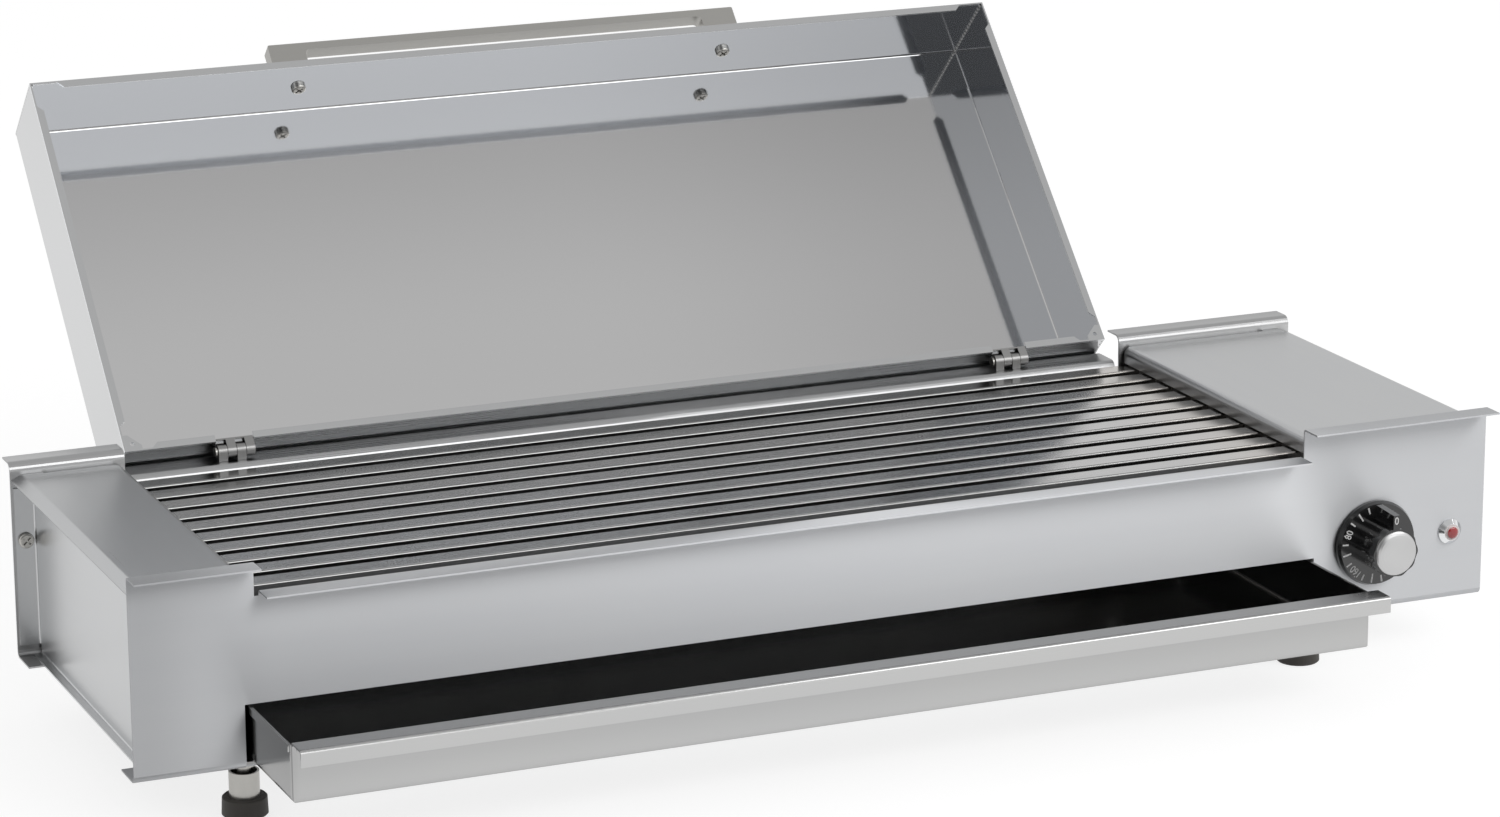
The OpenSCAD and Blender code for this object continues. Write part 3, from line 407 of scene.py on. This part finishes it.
def front_painted_shade(settings):
    """Painted shade: the front is painted darker to the left and right of the tray, and slowly
    darker to the left.
    """
    low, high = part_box("drip_tray")
    near, far = settings.painted_shade_width / 4, settings.painted_shade_width * 3 / 4
    slow_start = (low.x + 2 * high.x) / 3

    def painted_shade(finish):
        x = finish.axis("X")
        # Painted shade: shares by which the front's colour is painted darker
        left = settings.left_painted_shade * finish.ramp(x, low.x + near, low.x - far)
        right = settings.right_painted_shade * finish.ramp(x, high.x - far, high.x + near)
        slow = settings.slow_painted_shade * finish.ramp(x, slow_start, low.x)
        return 1 - (1 - left) * (1 - right) * (1 - slow)
    return painted_shade


def tray_painted_shade(settings):
    """Painted shade: the tray is painted darker inside, and its front behind the lip's face is
    painted darker too, as the lip's painted shadow: by a third of the shade at its foot and by all
    of it right under the lip."""
    low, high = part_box("drip_tray")
    sheet = settings.sheet
    front = low.y + settings.shelf

    def painted_shade(finish):
        x, y, z = (finish.axis(name) for name in "XYZ")
        # Painted shade inside the tray, and painted shadow under its lip
        inside = (finish.step(x, low.x, sheet, start=1.1, stop=1.6)
                  * finish.step(y, front, sheet, start=1.1, stop=1.6))
        behind_lip = finish.step(y, low.y, sheet, start=1.1, stop=2)
        rise = finish.ramp(z, low.z, high.z - settings.shade_depth)
        under_lip = settings.shade / 3 * (1 + 2 * rise) * behind_lip
        return 1 - (1 - settings.dark * inside) * (1 - under_lip)
    return painted_shade


def lid_steel(settings, lid):
    """The lid's bright sheet: its panel has painted shade that darkens it towards the top and the
    right, the walls' inner faces are painted paler and bluer as a painted sheen, and the turned-in
    lips along the rim are brushed and painted near white as a painted highlight. Places in the
    lid's own axes tell the three apart."""
    finish = Finish("polished_lid")
    sheet = settings.sheet
    clouds = finish.noise(5.0)
    waves = finish.noise(3.0, detail=1.0, roughness=0.4)
    across, up, over = (finish.along(finish.place(), axis) for axis in lid.axes)
    left, bottom, back = lid.low
    right, top, rim = lid.high
    panel = 1 - finish.step(over, back, sheet, start=1.5, stop=3)
    fall = settings.fall * finish.ramp(up, bottom + settings.fall_start * (top - bottom), top)
    drift = settings.drift * finish.ramp(
        across, left + settings.drift_start * (right - left), right)
    walls = 1 - panel
    for value, low, high in ((across, left, right), (up, bottom, top)):
        walls = walls * finish.step(value, low, sheet, start=0.4, stop=0.6)
        walls = walls * finish.step(value, high, sheet, start=-0.4, stop=-0.6)
    below_rim = 1 - finish.step(over, rim, sheet, start=-0.7, stop=-0.5)
    lips = below_rim * finish.step(over, rim, sheet, start=-1.6, stop=-1.2)
    tone = finish.mottled(settings.outside, clouds, mottle=0.03)
    # Painted sheen on the walls' inner faces
    tone = finish.blend(walls * below_rim, tone, settings.walls)
    tone = finish.blend(panel, tone, settings.panel)
    # Painted shade: the panel is darkened towards its top and right
    tone = finish.darkened(tone, panel * (1 - (1 - fall) * (1 - drift)))
    roughness = settings.roughness + settings.rim_roughness * lips
    # The brushed lips carry a painted highlight in their colour
    return finish.surface(
        base_color=finish.blend(lips, tone, settings.rim), metallic=1.0,
        roughness=varied(roughness, clouds, span=0.02),
        normal=finish.bump(waves, strength=0.075, distance=4 * MM))


def heated_steel(settings):
    """The bars' satin steel, tinted towards the end that the box heats: the tint is partly a real
    heat tint and partly a painted sheen that makes that end lighter. Blotches make the tint's
    edge uneven."""
    finish = Finish("heated_bars")
    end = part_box("grill_bar_1")[1].x
    reach = settings.heat_reach
    darkest, lightest = 0.94, 1.04
    streaks = finish.noise((3.0, 500.0, 500.0), detail=1.0)
    blotches = finish.noise((30.0, 120.0, 120.0), detail=3.0, roughness=0.6)
    edge = varied(finish.axis("X"), blotches, span=reach / 2)
    # The warm end is a heat tint and a painted sheen that lightens it
    warmth_and_sheen = finish.ramp(edge, end - 2 * reach, end - reach / 3)
    cold = finish.blend(blotches, shade(settings.bars, darkest), shade(settings.bars, lightest))
    return finish.surface(
        base_color=finish.blend(settings.heat_share * warmth_and_sheen, cold, settings.heat_tint_and_sheen), metallic=1.0,
        roughness=varied(settings.bar_roughness, streaks, span=0.05)
        + settings.heat_roughness * warmth_and_sheen,
        normal=finish.bump(streaks, strength=0.01, distance=0.1 * MM))


def plain_metal(name, tone, roughness, mottle=0.08):
    """Plated or cast metal with a mottled tone."""
    finish = Finish(name)
    spots = finish.noise(220.0, detail=4.0, roughness=0.6)
    return finish.surface(
        base_color=finish.mottled(tone, spots, mottle), metallic=1.0,
        roughness=varied(roughness, spots, span=0.1),
        normal=finish.bump(spots, strength=0.08, distance=0.2 * MM))


def plastic(name, tone, roughness, grain=0.6 * MM, relief=0.1, coat=0.0):
    """Moulded plastic or rubber with a fine grain."""
    finish = Finish(name)
    pits = finish.noise(1 / grain, detail=3.0, roughness=0.6)
    patches = finish.noise(60.0)
    return finish.surface(
        base_color=finish.mottled(tone, patches, mottle=0.15), coat_weight=coat,
        roughness=varied(roughness, patches, span=0.08),
        normal=finish.bump(pits, strength=relief, distance=grain / 4))


def lamp_lens(settings):
    """The pilot lamp's red dome inside its pale ring, told apart by the square of their
    distance from the lamp's axis. The dome is smooth and coated, the ring is rougher."""
    finish = Finish("red_lens")
    low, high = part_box("pilot_lens")
    centre = (low + high) / 2
    x, z = finish.axis("X") - centre.x, finish.axis("Z") - centre.z
    radius = settings.dome * (high.x - low.x) / 2
    inner, outer = 0.97 * radius, 1.03 * radius
    ring = finish.ramp(x * x + z * z, inner ** 2, outer ** 2)
    ripples = finish.noise(900.0, detail=1.0)
    return finish.surface(
        base_color=finish.blend(ring, settings.lens, settings.lens_ring),
        roughness=settings.dome_roughness + settings.ring_roughness * ring, coat_weight=1 - ring,
        normal=finish.bump(ripples, strength=0.15, distance=0.3 * MM))


def nodes_of(slot):
    """The CAD nodes that the record gives a material slot."""
    found = [frame["nodes"][part["node"]] for part in frame["record"]["subparts"]
             if part["material_slot"] == slot]
    if not found:
        raise RuntimeError(f"the record gives no node the slot {slot}")
    return found


def named(*names):
    """The CAD nodes of some names."""
    return [frame["nodes"][name] for name in names]


def paint(material, objects):
    """Puts a material in every slot of some objects."""
    for thing in objects:
        if not thing.material_slots:
            thing.data.materials.append(material)
        for material_slot in thing.material_slots:
            material_slot.material = material


# Meshes


# A numeral's font size and boldness as shares of its height, and its width as one of the font's
FONT_SIZE, BOLD, NARROW = 1.4, 0.02, 0.86


def flat_mesh(name, outlines):
    """A mesh of flat faces, each given as its corner points in order."""
    starts = np.cumsum([0] + [len(outline) for outline in outlines])
    faces = [range(start, stop) for start, stop in zip(starts, starts[1:])]
    mesh = bpy.data.meshes.new(name)
    mesh.from_pydata(np.concatenate(outlines).tolist(), [], faces)
    return mesh


def values(items, name, kind, width=1):
    """One attribute of all of a mesh's items, as a flat array."""
    array = np.empty(len(items) * width, kind)
    items.foreach_get(name, array)
    return array


def joined(name, meshes):
    """One object made of several meshes laid end to end: the corners of each mesh's faces count
    on from the points before it. The several meshes are removed."""
    before = np.cumsum([0] + [len(mesh.vertices) for mesh in meshes])
    points = np.concatenate([values(mesh.vertices, "co", np.float32, 3) for mesh in meshes])
    corners = np.concatenate([values(mesh.loops, "vertex_index", np.int32) + count
                              for mesh, count in zip(meshes, before)])
    sizes = np.concatenate([values(mesh.polygons, "loop_total", np.int32) for mesh in meshes])
    whole = bpy.data.meshes.new(name)
    whole.from_pydata(points.reshape(-1, 3), [], np.split(corners, np.cumsum(sizes)[:-1]))
    for mesh in meshes:
        bpy.data.meshes.remove(mesh)
    thing = bpy.data.objects.new(name, whole)
    bpy.context.scene.collection.objects.link(thing)
    return thing


def dial_point(radius, turn, centre, y):
    """Points on the dial at a radius and a turn left from the top: the centre, less the radius
    times the turn's sine along X, plus the radius times its cosine along Z."""
    return np.stack([centre[0] - radius * np.sin(turn), np.full_like(radius, y),
                     centre[1] + radius * np.cos(turn)], axis=-1)


def stroke(inner, outer, turn, width, centre, y):
    """A radial stroke: half its width to either side of the radius, from inner to outer."""
    along = np.array([inner, outer, outer, inner])
    side = np.array([-width, -width, width, width]) / 2
    points = dial_point(along, np.full(4, turn), centre, y)
    return points + side[:, None] * np.array([math.cos(turn), 0, math.sin(turn)])


def dot(radius, turn, size, centre, y, corners=16):
    """A round dot: its middle, plus its size times an even turn's sine along X and cosine
    along Z."""
    around = np.linspace(0, 2 * np.pi, corners, endpoint=False)
    middle = dial_point(np.array([radius]), np.array([turn]), centre, y)
    return middle + size * np.stack([np.sin(around), 0 * around, np.cos(around)], axis=-1)


def numeral(text, height, middle, turn):
    """A numeral as a flat mesh: made a little narrow and bold, stood upright facing the front,
    turned left and then moved to its middle."""
    letters = bpy.data.curves.new("numeral", "FONT")
    letters.body = text
    letters.size = FONT_SIZE * height
    letters.offset = BOLD * height
    letters.align_x = "CENTER"
    letters.align_y = "CENTER"
    letters.resolution_u = 4
    source = bpy.data.objects.new("numeral", letters)
    bpy.context.scene.collection.objects.link(source)
    bpy.context.view_layer.update()
    depsgraph = bpy.context.evaluated_depsgraph_get()
    mesh = bpy.data.meshes.new_from_object(source.evaluated_get(depsgraph))
    bpy.data.objects.remove(source)
    narrow = Matrix.Diagonal((NARROW, 1, 1, 1))
    upright = Matrix.Rotation(math.pi / 2, 4, "X")
    turned = Matrix.Rotation(-turn, 4, "Y")
    mesh.transform(Matrix.Translation(middle) @ turned @ upright @ narrow)
    return mesh


class Lid:
    """The open lid's own axes: out of its panel, which is the normal of its largest face,
    across the grill, and up along the panel, which is the cross product of the two. With them
    go the lid's least and greatest reach along each."""

    def __init__(self):
        mesh = frame["nodes"]["lid_shell"].data
        areas = values(mesh.polygons, "area", float)
        normals = values(mesh.polygons, "normal", float, 3).reshape(-1, 3)
        points = values(mesh.vertices, "co", float, 3).reshape(-1, 3)
        normal = normals[areas.argmax()]
        out = normal if normal[2] > 0 else -normal
        self.axes = np.array([[1, 0, 0], np.cross(out, [1, 0, 0]), out])
        reach = points @ self.axes.T
        self.low, self.high = reach.min(axis=0), reach.max(axis=0)

    def welds(self, radius, sheet, turns=12, steps=120, ripple=0.12, pace=2.0):
        """Beads in the corners where two walls meet: circles about the corner's line, whose
        radius is the bead's times one plus a ripple's sine along the line."""
        around = np.linspace(0, 2 * np.pi, turns, endpoint=False)
        along = np.linspace(self.low[2] + sheet, self.high[2] - sheet, steps)
        swell = radius * (1 + ripple * np.sin(pace * along / radius))[:, None]
        corners = [(x, y) for x in (self.low[0] + sheet, self.high[0] - sheet)
                   for y in (self.low[1] + sheet, self.high[1] - sheet)]
        return [self.bead(x + swell * np.cos(around), y + swell * np.sin(around), along)
                for x, y in corners]

    def bead(self, x, y, along):
        """A tube through rings of points given in the lid's own axes: each face joins two
        neighbours of one ring to the same two of the next."""
        points = np.stack([x, y, np.broadcast_to(along[:, None], x.shape)], axis=-1)
        index = np.arange(x.size).reshape(x.shape)
        after = np.roll(index, -1, axis=1)
        faces = np.stack([index[:-1], after[:-1], after[1:], index[1:]], axis=-1)
        mesh = bpy.data.meshes.new("bead")
        places = points.reshape(-1, 3) @ self.axes
        mesh.from_pydata(places.tolist(), [], faces.reshape(-1, 4).tolist())
        return mesh


# Operators


class GRILL_OT_body(bpy.types.Operator):
    """Gives the body's sheets, covers and carriers their brushed and satin steel, the front with
    painted shade beside the tray
    """

    bl_idname = "grill.body"
    bl_label = "Body sheets"

    def execute(self, context):
        settings = context.scene.grill_sheet
        tone, roughness = settings.body, settings.roughness
        satin = dict(streak=0.03, spread=settings.spread, edge=settings.edge)
        paint(steel("brushed_sheet", tone, roughness, streak=0.03), nodes_of("brushed_sheet"))
        paint(steel("inner_sheet", settings.inner, settings.inner_roughness, grain="Y"),
              nodes_of("inner_sheet"))
        # The front panel carries painted shade beside the tray
        paint(steel("satin_front", settings.front, settings.front_roughness, **satin,
                    painted_shade=front_painted_shade(settings)), named("front_panel"))
        paint(steel("satin_rear", settings.rear, roughness, **satin), named("rear_panel"))
        paint(steel("brushed_side", tone, roughness, grain="Y", streak=0.02),
              named("left_side_panel", "right_side_panel"))
        paint(steel("brushed_cover", tone, roughness, grain="Y", streak=0.02,
                    edge=settings.cover_edge), named("left_cover", "right_cover"))
        return {"FINISHED"}


class GRILL_OT_bars(bpy.types.Operator):
    """Gives the heating bars their satin steel with a tinted end, partly painted sheen, and the
    heaters their sheath
    """

    bl_idname = "grill.bars"
    bl_label = "Heating bars"

    def execute(self, context):
        settings = context.scene.grill_tray
        paint(heated_steel(settings), nodes_of("heated_bars"))
        paint(plain_metal("sheath", settings.sheath, roughness=0.55), nodes_of("sheath"))
        return {"FINISHED"}


class GRILL_OT_lid(bpy.types.Operator):
    """Gives the lid and its handle their steel, the lid with painted shade, sheen and highlight,
    and lays weld beads in the lid's corners
    """

    bl_idname = "grill.lid"
    bl_label = "Lid"

    def execute(self, context):
        settings = context.scene.grill_lid
        lid = Lid()
        paint(lid_steel(settings, lid), nodes_of("polished_lid"))
        beads = joined("lid_welds", lid.welds(settings.weld, settings.sheet))
        beads.data.materials.append(
            steel("weld", settings.weld_tone, settings.weld_roughness, grain="Y"))
        beads.data.shade_smooth()
        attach(beads, "lid")
        satin = steel("satin_handle", settings.handle, settings.handle_roughness)
        paint(satin, named("lid_handle"))
        return {"FINISHED"}


class GRILL_OT_tray(bpy.types.Operator):
    """Gives the drip tray its bright steel, with painted shade inside and under its lip"""

    bl_idname = "grill.tray"
    bl_label = "Drip tray"

    def execute(self, context):
        settings = context.scene.grill_tray
        # The tray's steel carries painted shade inside and under the lip
        bright = steel("polished_tray", settings.tray, settings.roughness, cloud=0.04,
                       edge=settings.edge, painted_shade=tray_painted_shade(settings))
        paint(bright, nodes_of("polished_tray"))
        return {"FINISHED"}


class GRILL_OT_fittings(bpy.types.Operator):
    """Gives the feet, screws, hinges, lamp and electrical parts their finishes"""

    bl_idname = "grill.fittings"
    bl_label = "Feet and fittings"

    def execute(self, context):
        settings = context.scene.grill_fittings
        metals = {
            "zinc_steel": dict(tone=settings.zinc, roughness=0.3, mottle=0.06),
            "chrome": dict(tone=settings.chrome, roughness=0.06, mottle=0.01),
            "brass": dict(tone=settings.brass, roughness=0.3),
            "copper": dict(tone=settings.copper, roughness=0.3),
            "thermostat_case": dict(tone=settings.case, roughness=0.45),
        }
        plastics = {
            "foot_rubber": dict(tone=settings.rubber, roughness=0.6, grain=1.2 * MM, relief=0.5),
            "ceramic": dict(tone=settings.ceramic, roughness=0.3, grain=1.2 * MM, relief=0.05,
                            coat=0.4),
            "black_plastic": dict(tone=settings.black, roughness=0.45),
        }
        for slot, look in metals.items():
            paint(plain_metal(slot, **look), nodes_of(slot))
        for slot, look in plastics.items():
            paint(plastic(slot, **look), nodes_of(slot))
        paint(lamp_lens(settings), nodes_of("red_lens"))
        return {"FINISHED"}


class GRILL_OT_dial(bpy.types.Operator):
    """Finishes the knob and prints its scale: strokes, and a numeral with a dot at each period"""

    bl_idname = "grill.dial"
    bl_label = "Knob and dial marks"

    def execute(self, context):
        settings = context.scene.grill_dial
        low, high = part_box("control_knob")
        centre = ((low.x + high.x) / 2, (low.z + high.z) / 2)
        meshes = self.scale(settings, centre, high.y - settings.plate - settings.gap)
        nose = (centre[0], low.y - settings.gap, centre[1] + settings.nose)
        marks = joined("dial_marks", meshes + [numeral("0", settings.numeral, nose, 0)])
        marks.data.materials.append(
            plastic("dial_print", settings.ink, roughness=0.5, grain=0.3 * MM, relief=0.02))
        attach(marks, "knob")
        paint(plastic("knob_black", settings.knob, roughness=0.14, grain=0.5 * MM, relief=0.03,
                      coat=0.8), nodes_of("knob_black"))
        paint(plain_metal("knob_silver", settings.cap, roughness=0.3, mottle=0.02),
              nodes_of("knob_silver"))
        return {"FINISHED"}

    def scale(self, settings, centre, y):
        """Meshes of the marks that follow each other leftwards from the nose: the strokes and
        dots, and then the numerals. The stroke midway between two numerals is long."""
        outlines, numerals = [], []
        rim, period = settings.rim, settings.period
        radius = np.array([rim - settings.inset * settings.numeral])
        for count in range(1, settings.marks + 1):
            turn = count * settings.step
            if count % period:
                midway = count % period == period // 2
                reach = settings.long_stroke if midway else settings.short_stroke
                outlines.append(
                    stroke(rim - reach, rim, turn, settings.stroke_width, centre, y))
            else:
                middle = dial_point(radius, np.array([turn]), centre, y)[0]
                text = str(count * settings.value)
                numerals.append(numeral(text, settings.numeral, middle, turn))
                outlines.append(dot(rim + settings.dot_rise, turn + settings.dot_turn,
                                    settings.dot, centre, y))
        return [flat_mesh("strokes", outlines)] + numerals


def seen_directly(nodes):
    """1 for rays from the camera, off metal or through glass, and 0 for light on the object."""
    camera, glossy, glass = (nodes.node("ShaderNodeLightPath", output=name) for name in
                             ("Is Camera Ray", "Is Glossy Ray", "Is Transmission Ray"))
    return camera.larger(glossy).larger(glass)


class GRILL_OT_stage(bpy.types.Operator):
    """Makes the world, the floor, the lamp and the camera"""

    bl_idname = "grill.stage"
    bl_label = "Stage"

    def execute(self, context):
        settings = context.scene.grill_stage
        self.world(context, settings)
        self.floor(context, settings)
        self.lamp(context, settings)
        self.camera(context, settings)
        context.scene.view_settings.view_transform = "Standard"
        return {"FINISHED"}

    def world(self, context, settings):
        """A white world: full strength where it is seen, less where it lights the object,
        darker overhead and in the unlit part of the room."""
        world = bpy.data.worlds.new("studio")
        world.use_nodes = True
        context.scene.world = world
        nodes = Nodes(world.node_tree)
        direction = nodes.node("ShaderNodeTexCoord", output="Generated")
        height = nodes.along(direction, (0, 0, 1))
        towards = nodes.along(direction, settings.dark_side)
        overhead = nodes.ramp(height, settings.zenith_low, settings.zenith_high)
        unlit = nodes.ramp(towards, settings.dark_far, settings.dark_near)
        strength = settings.world_fill + (1 - settings.world_fill) * seen_directly(nodes)
        strength = strength * (1 - (1 - settings.zenith) * overhead)
        strength = strength * (1 - settings.darkness * unlit)
        light = nodes.node("ShaderNodeBackground", sockets={
            "Color": (1, 1, 1, 1), "Strength": strength})
        nodes.node("ShaderNodeOutputWorld", sockets={"Surface": light})

    def floor(self, context, settings):
        """A wide flat floor that scatters light, and glows only where it is seen: metal shows
        the glow weaker to both sides of the middle."""
        half = settings.floor_half
        corners = np.array([[-half, -half, 0], [half, -half, 0], [half, half, 0], [-half, half, 0]])
        floor = bpy.data.objects.new("floor", flat_mesh("floor", [corners]))
        context.scene.collection.objects.link(floor)
        material = bpy.data.materials.new("floor")
        material.use_nodes = True
        nodes = Nodes(material.node_tree)
        matt = nodes.node("ShaderNodeBsdfDiffuse", sockets={
            "Color": rgba([settings.floor_albedo] * 3)})
        aside = nodes.axis("X") - settings.floor_middle
        aside = aside.larger(0 - aside)
        sides = nodes.ramp(aside, settings.floor_lit, settings.floor_lit + settings.floor_fade)
        mirrored = nodes.node("ShaderNodeLightPath", output="Is Glossy Ray")
        strength = settings.floor_glow * seen_directly(nodes)
        strength = strength * (1 - settings.floor_shade * sides * mirrored)
        glow = nodes.node("ShaderNodeEmission", sockets={
            "Color": (1, 1, 1, 1), "Strength": strength})
        both = nodes.node("ShaderNodeAddShader", sockets={0: matt, 1: glow})
        nodes.node("ShaderNodeOutputMaterial", sockets={"Surface": both})
        floor.data.materials.append(material)

    def lamp(self, context, settings):
        """One large soft lamp that faces its target."""
        data = bpy.data.lights.new("key_lamp", "AREA")
        data.shape = "RECTANGLE"
        data.size, data.size_y = settings.key_width, settings.key_height
        data.energy = settings.key_power
        lamp = bpy.data.objects.new("key_lamp", data)
        ahead = settings.key_target - settings.key_place
        turned = ahead.to_track_quat("-Z", "Y").to_matrix().to_4x4()
        lamp.matrix_world = Matrix.Translation(settings.key_place) @ turned
        context.scene.collection.objects.link(lamp)

    def camera(self, context, settings):
        """The camera at its place, turned by azimuth, dip and roll."""
        azimuth, dip, roll = settings.azimuth, settings.dip, settings.roll
        ahead = Vector((math.sin(azimuth) * math.cos(dip), math.cos(azimuth) * math.cos(dip),
                        -math.sin(dip)))
        right = Vector((math.cos(azimuth), -math.sin(azimuth), 0))
        up = right.cross(ahead)
        turned = math.cos(roll) * right + math.sin(roll) * up
        raised = math.cos(roll) * up - math.sin(roll) * right
        data = bpy.data.cameras.new("camera")
        data.lens = settings.focal
        camera = bpy.data.objects.new("camera", data)
        axes = Matrix((turned, raised, -ahead)).transposed().to_4x4()
        camera.matrix_world = Matrix.Translation(settings.camera) @ axes
        context.scene.collection.objects.link(camera)
        context.scene.camera = camera


# Panel and registration


class GRILL_PT_panel(bpy.types.Panel):
    """Lists the settings and the steps"""

    bl_label = "Table grill"
    bl_idname = "GRILL_PT_panel"
    bl_space_type = "VIEW_3D"
    bl_region_type = "UI"
    bl_category = "Grill"

    def draw(self, context):
        for scene_name, group in GROUPS.items():
            box = self.layout.box()
            for name in group.__annotations__:
                box.prop(getattr(context.scene, scene_name), name)
        for operator in OPERATORS:
            self.layout.operator(operator.bl_idname)


GROUPS = {
    "grill_sheet": SheetSettings,
    "grill_lid": LidSettings,
    "grill_tray": TraySettings,
    "grill_fittings": FittingSettings,
    "grill_dial": DialSettings,
    "grill_stage": StageSettings,
}
OPERATORS = (GRILL_OT_body, GRILL_OT_bars, GRILL_OT_lid, GRILL_OT_tray, GRILL_OT_fittings,
             GRILL_OT_dial, GRILL_OT_stage)
CLASSES = (*GROUPS.values(), *OPERATORS, GRILL_PT_panel)


def register():
    """Registers the classes and gives every scene the settings."""
    for cls in CLASSES:
        bpy.utils.register_class(cls)
    for name, group in GROUPS.items():
        setattr(bpy.types.Scene, name, bpy.props.PointerProperty(type=group))


def unregister():
    """Takes back what register did."""
    for name in GROUPS:
        delattr(bpy.types.Scene, name)
    for cls in reversed(CLASSES):
        bpy.utils.unregister_class(cls)


def main():
    """Runs the steps in order."""
    register()
    for operator in OPERATORS:
        space, name = operator.bl_idname.split(".")
        getattr(getattr(bpy.ops, space), name)()


if __name__ == "__main__":
    main()
